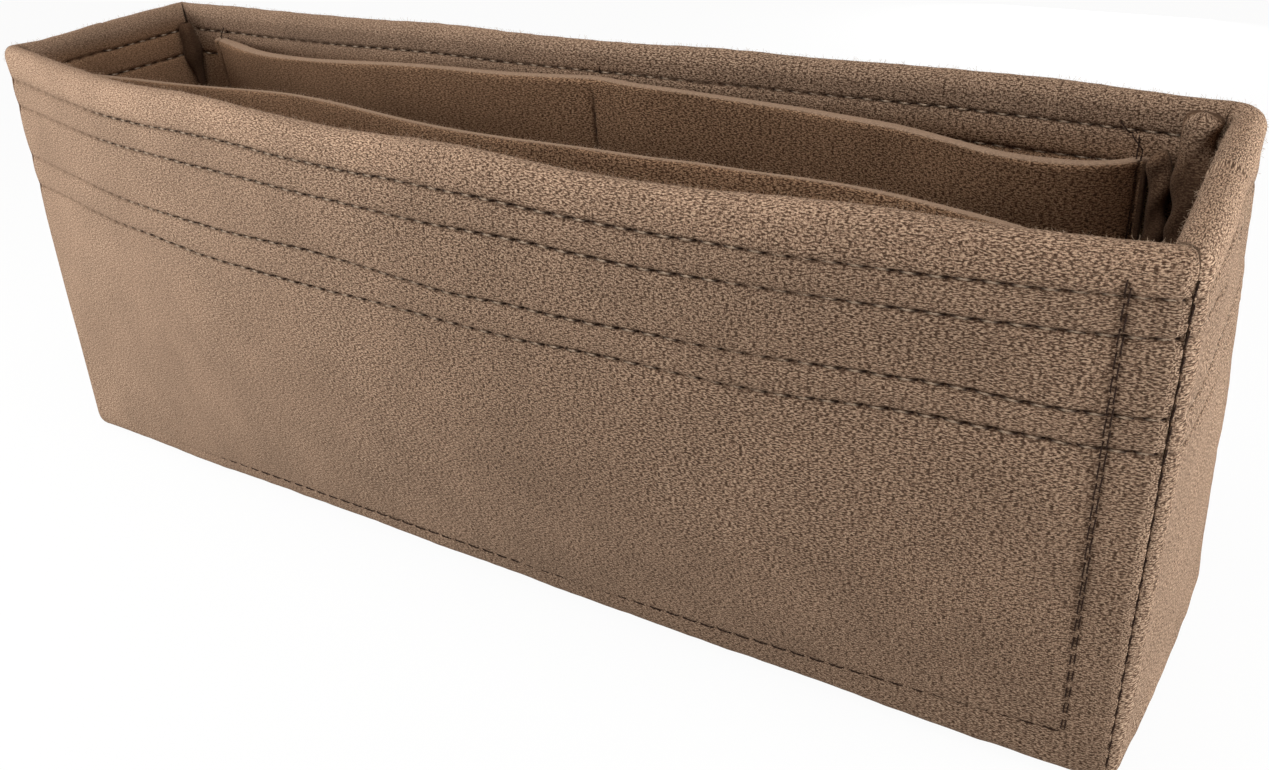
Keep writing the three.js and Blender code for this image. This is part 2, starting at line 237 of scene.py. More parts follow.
class InsertFelt(bpy.types.PropertyGroup):
    """Sizes of the felt and its hems"""

    thickness: length("Thickness", "Thickness of the felt", 0.003)
    fold_slot: length("Fold slot", "Gap inside the folded hem", 0.0003)
    hem_depth: length("Hem depth", "Depth of the hem folded in at the rim", 0.038)
    corner_gap: length("Corner gap", "Gap between two walls at a corner, where the seam lies", 0.00005)
    corner_radius: length("Corner radius", "Rounding of the upright corners in plan", 0.003)
    soft_corner: length("Soft corner", "How much rounder the back right corner is", 0.0045)
    corner_turn: FloatProperty(
        name="Corner turn", description="How far the corner seams lie towards the long walls", default=0.35,
        subtype="ANGLE",
    )
    mitre_gap: length("Mitre gap", "Gap between two walls inside a corner", 0.00005)
    base_gap: length("Base gap", "Gap between the base and an end wall, where the seam lies", 0.0012)
    corner_roll: length("Corner roll", "Width of the rounding where the felt turns into a seam", 0.0006)
    corner_dip: length("Corner dip", "How deep the felt turns into a seam", 0.00012)
    notch: length("Notch", "How deep the seam at the back right corner cuts into the rim", 0.0009)
    cut_round: length("Cut rounding", "Rounding of a cut edge", 0.0008)
    allowance_lump: length("Allowance lumps", "Height of the soft lumps of the allowances", 0.0004)
    allowance_floor: length("Allowance floor", "Height of the allowances' lower ends", 0.009)
    clearance: length("Clearance", "Gap between pieces of felt that lie on each other", 0.0003)
    grain_height: length("Grain height", "Height of the felt's fine grain", 0.00018)


class InsertPockets(bpy.types.PropertyGroup):
    """Sizes of the slip pockets"""

    front_span: length("Front span", "Between the end seams of the front pocket", 0.262)
    front_drop: length("Front drop", "Drop of the front pocket's edge below the rim", 0.0065)
    front_slack: length("Front slack", "How far the front pocket stands off its wall", 0.0229)
    rear_span: length("Rear span", "Between the end seams of the rear pocket", 0.241)
    rear_drop: length("Rear drop", "Drop of the rear pocket's edge below the rim", 0.008)
    rear_slack: length("Rear slack", "How far the rear pocket stands off its wall", 0.0104)
    rear_sag: length("Rear sag", "How far the rear pocket's edge sags at its right end", 0.003)
    margin: length("Margin", "Felt past the end seams", 0.0018)
    foot_drop: length("Foot drop", "How much lower the front pocket's floor lies at its left end", 0.0052)
    foot_sag: length("Foot sag", "How far that floor hangs below its straight line", 0.0012)
    seam_slant: length("Seam slant", "How far the rear pocket's right seam leans in above it", 0.0056)
    floor: length("Floor", "Height of the panels' lower edge", 0.0105)
    edge_wave: length("Edge wave", "Height of the slight waves along the panels' edges", 0.0003)
    lump_height: length("Lump height", "Height of the panels' soft lumps", 0.00018)
    rise: number("Rise", "How soon a pocket swells above its floor", 0.8)


class InsertSeams(bpy.types.PropertyGroup):
    """Sizes of the seams and their thread"""

    stitch: length("Stitch length", "Length of one stitch", 0.004)
    thread: length("Thread", "Diameter of the thread", 0.00038)
    dive: length("Dive", "How deep the thread goes into the felt at each hole", 0.0011)
    lift: length("Lift", "How far the thread's middle lies above the felt", 0.0001)
    drift: length("Drift", "How far a stitch wanders to its side", 0.00004)
    slant: length("Slant", "How far a stitch moves aside from its first to its last hole", 0.00016)
    corner_slant: length("Corner slant", "The same for the corner seams", 0.0005)
    sway: length("Sway", "How far a seam sways from its line", 0.00005)
    jitter: length("Jitter", "How far the needle holes lie off their line", 0.00003)
    # Painted shade: how dark the felt is painted along a seam's groove and in its needle holes; below,
    # painted shade along the rear pocket's middle seam and in the slit past its end
    fade: number("Fade", "How dark a seam makes the felt along it", 0.3)
    veil: number("Veil", "How far the felt hides its stitches at the left end", 0.95)
    divider_shade: number("Divider shade", "How dark the rear pocket's middle seam is", 0.8)
    shade_width: length("Shade width", "How wide the shade of a rear pocket's seam is", 0.0006)
    end_shade: number("End shade", "How dark the felt past the rear pocket is", 1.0)
    end_pull: number("End pull", "How much of the usual groove an end seam has", 0.4)
    groove: length("Groove", "Depth of the groove that a seam pulls into the felt", 0.00022)
    groove_width: length("Groove width", "Half width of the groove", 0.0005)
    puff: length("Puff", "How far the felt swells between seams", 0.00042)
    puff_width: length("Puff width", "How far from the seam the felt has swelled", 0.0028)
    hole: length("Hole", "Depth of the dent at each needle hole", 0.00045)
    hole_width: length("Hole width", "Half length of that dent", 0.0009)
    upper_drop: length("Upper drop", "Drop of the first row of hem stitches below the rim", 0.0067)
    upper_spacing: length("Upper spacing", "From the first row of hem stitches to the second", 0.0064)
    lower_drop: length("Lower drop", "Drop of the third row of hem stitches below the rim", 0.027)
    lower_spacing: length("Lower spacing", "From the third row of hem stitches to the fourth", 0.0062)
    row_sag: length("Row sag", "How far the front wall's rows of stitches stray from their heights", 0.001)
    row_margin: length("Row margin", "From the end of a row to the corner", 0.0012)
    double_spacing: length("Double spacing", "Between the two lines of a pocket's end seam", 0.00062)
    double_thread: length("Double seam thread", "Diameter of the thread in a pocket's end seam", 0.00034)
    double_start: length("Double start", "How much lower the second of those lines starts", 0.0012)
    double_lift: number("Double seam lift", "How many times higher that thread lies", 1.8)
    thread_grain: length("Thread grain", "Height of the thread's fine grain", 0.00005)
    sink: length("Sink", "How far the thread lies below the felt where brushed fibres hide it", 0.0015)
    pocket_drop: length("Pocket seam drop", "Drop of the pocket seams' upper ends below the rim", 0.0036)
    pocket_height: length("Pocket seam height", "Height of the seams along the pockets' floors", 0.012)
    corner_drop: length("Corner seam drop", "Drop of the corner seams' upper ends below the rim", 0.0032)
    corner_foot: length("Corner seam foot", "Height of the corner seams' lower ends", 0.0012)
    base_margin: length("Base seam margin", "From the end of a base seam to the bend of the wall", 0.001)
    base_height: length("Base seam height", "Height of the base seams' needle holes", 0.0008)


class InsertColours(bpy.types.PropertyGroup):
    """Colours of the felt and the thread, with the painted light and shade among them"""

    felt: colour("Felt", "The felt's own colour", (0.226, 0.138, 0.092))
    fibre: colour("Fibre", "Its lightest fibres", (0.520, 0.364, 0.252))
    pit: colour("Pit", "The shade between its fibres", (0.048, 0.024, 0.014))
    # Painted shade: the share of the felt's colour left where the box's inside, the pockets and the
    # allowances are painted darker
    inside: colour("Inside", "How much of the felt's colour is left inside the box", (0.88, 0.77, 0.66))
    # Painted light: the colour that the pockets' upward-facing cut top edges are painted
    cut: colour("Cut edge", "The paler edge where the felt is cut", (0.390, 0.262, 0.180))
    # Painted light: how much lighter the rims' upward-facing top band is painted
    top_light_gain: number("Painted top light", "How much lighter the brushed rim is", 0.27)
    pit_share: number("Pit share", "How much of the pits' shade shows between the fibres", 0.85)
    cut_share: number("Cut share", "How much of the cut edge's colour shows there", 0.75)
    seam_share: number("Seam share", "How much of the pits' shade shows in a seam", 0.85)
    dark_share: number("Dark share", "How near the felt's darkest fibres come to its own colour", 0.25)
    # Painted shade and painted highlight: the thread's dark colour in its needle holes and sunken seams, and
    # its lighter colour where it lies on top
    thread: colour("Thread", "The sewing thread where it dives into the felt", (0.030, 0.014, 0.008))
    thread_light: colour("Thread highlight", "The thread where it lies on the felt", (0.560, 0.420, 0.305))


class InsertFuzz(bpy.types.PropertyGroup):
    """Sizes of the loose fibres that stand off the felt"""

    fibre_length: length("Fibre length", "Length of the longest fibres", 0.0011)
    fibre_thickness: length("Fibre thickness", "Thickness of a fibre", 0.00005)
    density: number("Density", "Fibres to a square metre of rim", 900000.0)


class InsertStage(bpy.types.PropertyGroup):
    """The camera, the lamps and the sky"""

    eye: FloatVectorProperty(
        name="Eye", description="Where the camera stands", size=3, subtype="XYZ", unit="LENGTH",
        default=(0.159212, -0.206556 + PLAN_MIDDLE, 0.175455),
    )
    look: direction("Look", "The way the camera looks", (-0.479798, 0.727598, -0.490300))
    right: direction("Right", "The picture's way to the right", (0.849827, 0.524338, -0.053514))
    focal_pixels: number("Focal length", "In pixels of the photograph", 1234.4)
    picture_width: IntProperty(name="Picture width", description="In pixels", default=1269)
    key: power("Key lamp", "Power of the lamp at the left", 1.62)
    fill: power("Fill lamp", "Power of the lamp at the right", 1.58)
    top: power("Top lamp", "Power of the lamp above", 0.95)
    back: power("Back lamp", "Power of the low lamp behind", 1.0)
    sky: number("Sky", "Strength of the even light from all round", 0.26)


def lerp(first, last, share):
    return first + (last - first) * share


def smooth_step(value, low, high):
    share = np.clip((value - low) / (high - low), 0, 1)
    return share * share * (3 - 2 * share)


def through(shares, at):
    """A smooth curve through given pairs of shares"""
    knots = np.array(shares, float)
    x, y = knots[:, 0], knots[:, 1]
    slope = np.gradient(y, x)
    slope[0] = (y[1] - y[0]) / (x[1] - x[0])
    slope[-1] = (y[-1] - y[-2]) / (x[-1] - x[-2])
    at = np.clip(at, x[0], x[-1])
    i = np.clip(np.searchsorted(x, at) - 1, 0, len(x) - 2)
    h = x[i + 1] - x[i]
    t = (at - x[i]) / h
    return (
        (1 + 2 * t) * (1 - t) ** 2 * y[i]
        + t * (1 - t) ** 2 * h * slope[i]
        + t * t * (3 - 2 * t) * y[i + 1]
        + t * t * (t - 1) * h * slope[i + 1]
    )


def lumps(points, height, shortest, longest, count, seed):
    """Soft random swells, as a sum of waves in all directions"""
    random = np.random.default_rng(seed)
    total = np.zeros(points.shape[:-1])
    for _ in range(count):
        way = random.normal(size=3)
        way /= np.linalg.norm(way)
        wave = random.uniform(shortest, longest)
        total += np.sin(points @ way * (2 * math.pi / wave) + random.uniform(0, 2 * math.pi))
    return total * height / math.sqrt(count / 2)


class Shape:
    """The box's surfaces, from the sizes kept in the scene"""

    # Heights where the hem's swell starts, is full, starts to go and is gone
    SWELL = (60 * MM, 86 * MM, 91 * MM, 104 * MM)
    # Shortest and longest wave along the rim, number of waves and seed
    RIM_WAVES = (26 * MM, 70 * MM, 7, 61)
    # Depths in the felt where the strayed rows start to fade and are gone
    ROW_DEPTHS = (7 * MM, 12 * MM)

    def __init__(self, scene):
        self.box = scene.insert_box
        self.felt = scene.insert_felt
        self.pockets = scene.insert_pockets
        self.seams = scene.insert_seams
        self.fold_radius = self.felt.thickness + self.felt.fold_slot / 2
        self.fold_height = self.box.height - self.fold_radius
        self.flap_inset = 2 * self.felt.thickness + self.felt.fold_slot
        self.hem_end = self.box.height - self.felt.hem_depth
        self.hem_lead_end = self.hem_end - self.felt.thickness
        self.hem_lead_start = self.hem_lead_end - 2 * self.felt.thickness
        upper = self.box.height - self.seams.upper_drop
        lower = self.box.height - self.seams.lower_drop
        self.rows = (upper, upper - self.seams.upper_spacing, lower, lower - self.seams.lower_spacing)
        self.front_top = self.box.height - self.pockets.front_drop
        self.rear_top = self.box.height - self.pockets.rear_drop

    def half_length(self, z):
        return lerp(self.box.base_length, self.box.rim_length, z / self.box.height) / 2

    def half_width(self, z):
        return lerp(self.box.base_width, self.box.rim_width, z / self.box.height) / 2

    def wall_reach(self, side, x, z):
        """How far a long wall's outer face stands from the middle plane"""
        bow = self.box.front_bow if side == FRONT else self.box.back_bow
        along = np.minimum(1, np.abs(x) / self.half_length(z))
        up = np.clip(z / (self.box.bow_rise * self.box.height), 0, 1)
        return self.half_width(z) + bow * (1 - along**self.box.bow_fullness) * np.sin(up * math.pi / 2)

    def gusset_reach(self, y, z):
        """How far an end wall's outer face stands from the middle of the length"""
        across = np.minimum(1, np.abs(y) / self.half_width(z))
        up = np.clip(z / self.box.height, 0, 1)
        return self.half_length(z) + self.box.gusset_bow * (1 - across**2) * np.sin(up * math.pi)

    def inner_inset(self, z):
        """Inset of a wall's inner face, past the curled base edge and, higher up, past the hem"""
        t = self.felt.thickness
        hem = (t + self.felt.fold_slot) * smooth_step(z, self.hem_lead_start, self.hem_lead_end)
        inner_radius = self.box.edge_radius - t
        below = np.clip(self.box.edge_radius - z, 0, inner_radius)
        return self.box.edge_radius - np.sqrt(inner_radius**2 - below**2) + hem

    def row_shift(self, x, y, z):
        """How far the front wall's felt has strayed up or down about its rows of hem stitches"""
        at = x / (self.box.rim_length / 2)
        strays = [self.seams.row_sag * through(shares, at) for shares in FRONT_ROW_SHARES[::-1]]
        heights = [self.box.height / 3, *self.rows[::-1], self.fold_height]
        knots = list(zip(heights, [0 * at, *strays, 0 * at]))
        shift = 0 * at
        for (low, first), (high, last) in zip(knots[:-1], knots[1:]):
            shift = np.where((z > low) & (z <= high), lerp(first, last, (z - low) / (high - low)), shift)
        depth = self.wall_reach(FRONT, x, z) + y
        return shift * (1 - smooth_step(depth, *self.ROW_DEPTHS))

    def rounded(self, x, y, z):
        """Rounds the upright corners in plan and turns their seams a little onto the long walls"""
        soft = np.where((x > 0) & (y > 0), self.felt.soft_corner, 0)
        radius = self.felt.corner_radius + soft
        wall = np.where(y < 0, self.wall_reach(FRONT, x, z), self.wall_reach(BACK, x, z))
        over_x = np.abs(x) - self.gusset_reach(y, z) + radius
        over_y = np.abs(y) - wall + radius
        inside = (over_x > 0) & (over_y > 0)
        far = np.maximum(over_x, over_y)
        angle = np.arctan2(over_y, over_x)
        angle = angle + self.felt.corner_turn * np.sin(2 * angle)
        moved_x = np.sign(x) * (np.abs(x) - over_x + far * np.cos(angle))
        moved_y = np.sign(y) * (np.abs(y) - over_y + far * np.sin(angle))
        return np.where(inside, moved_x, x), np.where(inside, moved_y, y)

    def settle(self, points):
        """Where a point of the regular box lies on the soft one, whose ends have splayed and leaned"""
        box = self.box
        z = points[..., 2]
        x, y = self.rounded(points[..., 0], points[..., 1], z)
        up = z / box.height
        low = np.clip(1 - up, 0, 1)
        along = x / (box.rim_length / 2)
        across = y / self.half_width(z)
        left, right = np.clip(-along, 0, None) ** 2, np.clip(along, 0, None) ** 2
        back = np.clip((1 + across) / 2, 0, 1)
        front = 1 - back

        moved_x = x + right * front * box.end_shift
        moved_x = moved_x + left * (box.left_lean * (0.62 - up) + 0.5 * box.left_lean * back * up)
        moved_x = moved_x + right * back * box.right_lean * ((1 - up) ** 2 - 0.1 - 0.2 * up)
        moved_x = moved_x - box.foot_tuck * right * (back**2 - 1.7 * back * front) * low**5

        start, full, fading, gone = self.SWELL
        swell = smooth_step(z, start, full) * (1 - smooth_step(z, fading, gone))
        swell = swell * np.clip(-across, 0, 1) * np.clip(1 - along**4, 0, 1)
        moved_y = y + box.splay * along * across * np.clip(up, 0, None) + PLAN_MIDDLE
        moved_y = moved_y - box.hem_swell * swell

        wave = lumps(np.stack([x, 0 * x, 0 * x + np.sign(y)], -1), box.ripple, *self.RIM_WAVES)
        moved_z = z - box.rim_tilt * np.clip(along, 0, None) * up + wave * np.clip(up, 0, 1) ** 8
        moved_z = moved_z + self.row_shift(points[..., 0], points[..., 1], z)
        moved_z = moved_z + box.corner_lift * right**8 * front**2 * low**12
        moved_z = moved_z + box.back_lift * right**8 * back**3 * low**9
        return np.stack([moved_x, moved_y, moved_z], -1)

    def wall_point(self, side, x, z, inset):
        """A point at a depth behind a long wall's outer face"""
        return np.stack(np.broadcast_arrays(x, side * (self.wall_reach(side, x, z) - inset), z), -1)

    def gusset_point(self, side, y, z, inset):
        """A point at a depth behind an end wall's outer face"""
        return np.stack(np.broadcast_arrays(side * (self.gusset_reach(y, z) - inset), y, z), -1)

    def pocket_top(self, side):
        return self.front_top if side == FRONT else self.rear_top

    def pocket_span(self, side):
        return self.pockets.front_span if side == FRONT else self.pockets.rear_span

    def pocket_foot(self, side, x):
        """Height of the seam along a pocket's floor"""
        if side == BACK:
            return self.seams.pocket_height + 0 * x
        from_end = 0.5 - x / self.pocket_span(side)
        sag = self.pockets.foot_sag * smooth_step(from_end, 0, 0.28)
        return self.seams.pocket_height - self.pockets.foot_drop * from_end - sag

    def pocket_inset(self, side, x, z):
        """Depth of a pocket panel's middle surface behind its wall's outer face"""
        front = side == FRONT
        slack = self.pockets.front_slack if front else self.pockets.rear_slack
        shares = FRONT_FILL_SHARES if front else REAR_FILL_SHARES
        fill = through(shares, x / (self.pocket_span(side) / 2))
        foot = self.pocket_foot(side, x)
        up = np.clip((z - foot) / (self.pocket_top(side) - foot), 0, 1)
        base = self.inner_inset(z) + self.felt.clearance + self.felt.thickness / 2
        return base + slack * fill * up**self.pockets.rise


def near_seams(first, last, step, seams):
    """Places from first to last in even steps, finer about each seam"""
    fine = np.array(SEAM_SHARES) * SEAM_REACH
    places = list(np.linspace(first, last, max(2, round(abs(last - first) / step) + 1)))
    low, high = min(first, last), max(first, last)
    for seam in seams:
        places = [p for p in places if abs(p - seam) > SEAM_REACH * 1.2 or p in (first, last)]
        places += [seam + d for d in fine if low < seam + d < high]
    return np.array(sorted(places, reverse=first > last))


def wall_rows(shape, seams, band=()):
    """The outer and inner faces of one wall in section, from the hem's lower end over the rim to the base.

    Each is a table of inset, height, free end for the corner seam, and run along the cloth. Band holds the
    two heights between which a slanting seam needs finer rows.
    """
    felt, box = shape.felt, shape.box
    t, slot = felt.thickness, felt.fold_slot
    flap_run = shape.fold_height - shape.hem_end
    fold_run = math.pi * (shape.fold_radius + slot / 2) / 2
    wall_run = shape.fold_height - box.edge_radius
    edge_run = math.pi / 2 * (box.edge_radius - t / 2)
    starts = np.cumsum([0, flap_run, fold_run, wall_run, edge_run])

    heights = near_seams(shape.fold_height, box.edge_radius, WALL_STEP, seams)
    if band:
        outside = heights[(heights > band[1]) | (heights < band[0])]
        heights = np.sort(np.concatenate([outside, np.arange(*band, SLANT_STEP)]))[::-1]

    def chain(flap_inset, wall_inset, flap_heights, wall_heights, turns, radius, edge_turns, edge_radius):
        rows = []
        for z in flap_heights[:-1]:
            rows.append((flap_inset, z, felt.mitre_gap, z - shape.hem_end))
        for turn in turns:
            inset = shape.fold_radius - radius * math.cos(turn)
            gap = lerp(felt.corner_gap, felt.mitre_gap, turn / math.pi)
            run = starts[1] + fold_run * (1 - turn / math.pi)
            rows.append((inset, shape.fold_height + radius * math.sin(turn), gap, run))
        for z in wall_heights[1:-1]:
            rows.append((wall_inset, z, felt.corner_gap, starts[2] + shape.fold_height - z))
        for turn in edge_turns:
            share = turn / (math.pi / 2)
            inset = box.edge_radius - edge_radius * math.cos(turn)
            z = box.edge_radius - edge_radius * math.sin(turn)
            rows.append((inset, z, lerp(felt.corner_gap, felt.base_gap, share), starts[3] + edge_run * share))
        return np.array(rows)

    outer = chain(
        shape.flap_inset,
        0,
        near_seams(shape.hem_end, shape.fold_height, FLAP_STEP, shape.rows[:2]),
        heights,
        np.linspace(math.pi, 0, 15),
        shape.fold_radius,
        np.linspace(0, math.pi / 2, 9),
        box.edge_radius,
    )
    inner = chain(
        t + slot,
        t,
        np.linspace(shape.hem_end, shape.fold_height, 8),
        np.linspace(shape.fold_height, box.edge_radius, 16),
        np.linspace(math.pi, 0, 5),
        slot / 2,
        np.linspace(0, math.pi / 2, 6),
        box.edge_radius - t,
    )
    return outer, inner


def grid_normals(grid, outward):
    """Unit normals of a grid of points, turned so that they agree with a rough outward direction"""
    normal = np.cross(np.gradient(grid, axis=0), np.gradient(grid, axis=1))
    normal /= np.maximum(np.linalg.norm(normal, axis=-1, keepdims=True), 1e-12)
    middle = (grid.shape[0] // 2, grid.shape[1] // 2)
    sign = np.sign(normal[middle] @ np.array(outward[middle]))
    return normal * sign


class SeamField:
    """Distances to the seams and needle holes that lie on one face of the cloth"""

    def __init__(self, paths):
        self.lines = self.tree(np.concatenate([self.dense(p) for p in paths]))
        self.holes = self.tree(np.concatenate(paths))

    @staticmethod
    def dense(path):
        steps = 16
        pieces = [lerp(path[:-1], path[1:], i / steps) for i in range(steps)]
        return np.concatenate([*pieces, path[-1:]])

    @staticmethod
    def tree(points):
        tree = KDTree(len(points))
        for i, point in enumerate(points):
            tree.insert(point, i)
        tree.balance()
        return tree

    def distances(self, grid):
        flat = grid.reshape(-1, 3)
        line = np.array([self.lines.find(p)[2] for p in flat]).reshape(grid.shape[:-1])
        hole = np.array([self.holes.find(p)[2] for p in flat]).reshape(grid.shape[:-1])
        return line, hole


def sewn_relief(seams, field, grid, veil=0):
    """How far the felt is pulled in at the seams and swells between them, and a mark of how close the seams
    are, which paints shade into their grooves and needle holes.

    Where the felt is veiled the seam shows only as a soft wide furrow.
    """
    line, hole = field.distances(grid)
    along = np.sqrt(np.maximum(hole**2 - line**2, 0))
    groove = np.exp(-((line / seams.groove_width) ** 2))
    dent = np.exp(-((along / seams.hole_width) ** 2) - (line / (0.55 * seams.groove_width)) ** 2)
    swell = 1 - np.exp(-line / seams.puff_width)
    sharp = 1 - 0.5 * veil
    relief = seams.puff * (1 + veil) * (swell - 1) - sharp * (seams.groove * groove + seams.hole * dent)
    return relief, np.clip(seams.fade * groove + dent, 0, 1) * sharp


def double_relief(seams, field, grid):
    """The same for the double end seams, which lie on the felt and hardly pull it in"""
    line, _ = field.distances(grid)
    close = np.exp(-((line / (0.6 * seams.groove_width)) ** 2))
    relief = -seams.end_pull * (seams.puff * np.exp(-line / seams.puff_width) + seams.groove * close)
    return relief, seams.fade * close


def left_veil(points):
    """How far brushed fibres hide the stitches, near the front wall's left end"""
    return smooth_step(-points[..., 0], *VEIL_PLACES) * (points[..., 1] < 0)


def strip_faces(outer, inner, outer_run, inner_run):
    """Triangles between two rows of vertices that end together"""
    faces = []
    i = j = 0
    while i < len(outer) - 1 or j < len(inner) - 1:
        step_outer = j == len(inner) - 1 or (i < len(outer) - 1 and outer_run[i + 1] <= inner_run[j + 1])
        if step_outer:
            faces.append((outer[i], outer[i + 1], inner[j]))
            i += 1
        else:
            faces.append((outer[i], inner[j + 1], inner[j]))
            j += 1
    return faces


def felt_mesh(name, outer, inner, outer_map, inner_map, outer_marks, inner_marks):
    """A closed piece of felt between two grids of points, whose rows run the same way"""
    columns, outer_rows = outer.shape[:2]
    inner_rows = inner.shape[1]
    outer_ids = np.arange(columns * outer_rows).reshape(columns, outer_rows)
    inner_ids = outer_ids.size + np.arange(columns * inner_rows).reshape(columns, inner_rows)

    def quads(ids):
        return np.stack([ids[:-1, :-1], ids[1:, :-1], ids[1:, 1:], ids[:-1, 1:]], -1).reshape(-1, 4)

    faces = [tuple(f) for f in quads(outer_ids)] + [tuple(f[::-1]) for f in quads(inner_ids)]
    for c in range(columns - 1):
        faces.append((inner_ids[c, 0], inner_ids[c + 1, 0], outer_ids[c + 1, 0], outer_ids[c, 0]))
        faces.append((outer_ids[c, -1], outer_ids[c + 1, -1], inner_ids[c + 1, -1], inner_ids[c, -1]))
    smooth_count = len(faces)
    first = strip_faces(outer_ids[0], inner_ids[0], outer_map[0, :, 1], inner_map[0, :, 1])
    last = strip_faces(outer_ids[-1], inner_ids[-1], outer_map[-1, :, 1], inner_map[-1, :, 1])
    faces += first + [f[::-1] for f in last]

    points = np.concatenate([outer.reshape(-1, 3), inner.reshape(-1, 3)])
    faces = [tuple(int(i) for i in f) for f in faces]
    mesh = bpy.data.meshes.new(name)
    mesh.from_pydata(points.tolist(), [], faces)
    mesh.update()
    if mesh_volume(mesh) < 0:
        mesh.flip_normals()
    mesh.polygons.foreach_set("use_smooth", [i < smooth_count for i in range(len(mesh.polygons))])
    write_map(mesh, np.concatenate([measured(outer, outer_map), measured(inner, inner_map)]))
    for key in outer_marks:
        write_mark(mesh, key, np.concatenate([outer_marks[key].ravel(), inner_marks[key].ravel()]))
    return mesh


def measured(grid, flat_map):
    """The cloth's map of one face, with its rows as far apart as they lie there"""
    steps = np.linalg.norm(np.diff(grid[len(grid) // 2], axis=0), axis=-1)
    run = np.concatenate([[0], np.cumsum(steps)]) + flat_map[0, 0, 1]
    return cloth_map(flat_map[..., 0], run).reshape(-1, 2)


def mesh_volume(mesh):
    """Volume inside a closed mesh, below zero where its faces point in"""
    mesh.calc_loop_triangles()
    points = np.zeros(len(mesh.vertices) * 3)
    mesh.vertices.foreach_get("co", points)
    corners = np.zeros(len(mesh.loop_triangles) * 3, int)
    mesh.loop_triangles.foreach_get("vertices", corners)
    a, b, c = points.reshape(-1, 3)[corners.reshape(-1, 3)].transpose(1, 0, 2)
    return float((a * np.cross(b, c)).sum() / 6)


def write_map(mesh, vertex_map):
    """Gives the mesh its map of the flat cloth, in metres"""
    layer = mesh.uv_layers.new(name=RUN_MAP)
    corners = np.zeros(len(mesh.loops), int)
    mesh.loops.foreach_get("vertex_index", corners)
    layer.data.foreach_set("uv", vertex_map[corners].astype(np.float32).ravel())


def write_mark(mesh, name, values):
    """Marks each point of a mesh with a value that the materials and trees read"""
    values = np.asarray(values, np.float32).ravel()
    mesh.attributes.new(name, "FLOAT", "POINT").data.foreach_set("value", values)


def add_piece(name, mesh, material, replaced=()):
    """Puts a finished mesh in the scene as a piece of the insert"""
    piece = bpy.data.objects.new(name, mesh)
    bpy.context.scene.collection.objects.link(piece)
    piece.data.materials.clear()
    piece.data.materials.append(material)
    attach(piece, "root")
    if replaced:
        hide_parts(*replaced)
    return piece


def wall_columns(shape):
    """Places along a long wall, finer at the pocket's end seams and at the corners, for the right half"""
    seam = shape.pockets.front_span / 2
    about_seam = np.arange(seam - 10 * SEAM_STEP, seam + 10.4 * SEAM_STEP, SEAM_STEP)
    even_end = about_seam[0] - 2 * MM
    even = np.arange(0, even_end, shape.seams.stitch / 5)
    outside = shape.half_length(0) - END_STEPS[::-1]
    return np.concatenate([even, about_seam, outside[outside > about_seam[-1] + SEAM_STEP]])


def stretched_columns(places, edge):
    """The columns' places where the wall ends at edge: those near the middle stay"""
    fixed = 120 * MM
    outer = fixed + (places - fixed) / (places[-1] - fixed) * (edge - fixed)
    return np.where(places <= fixed, places, outer)


def corner_relief(felt, distance):
    """How far a face turns in along a corner"""
    share = np.clip(1 - distance / felt.corner_roll, 0, 1)
    return -felt.corner_dip * (1 - np.sqrt(1 - share**2))


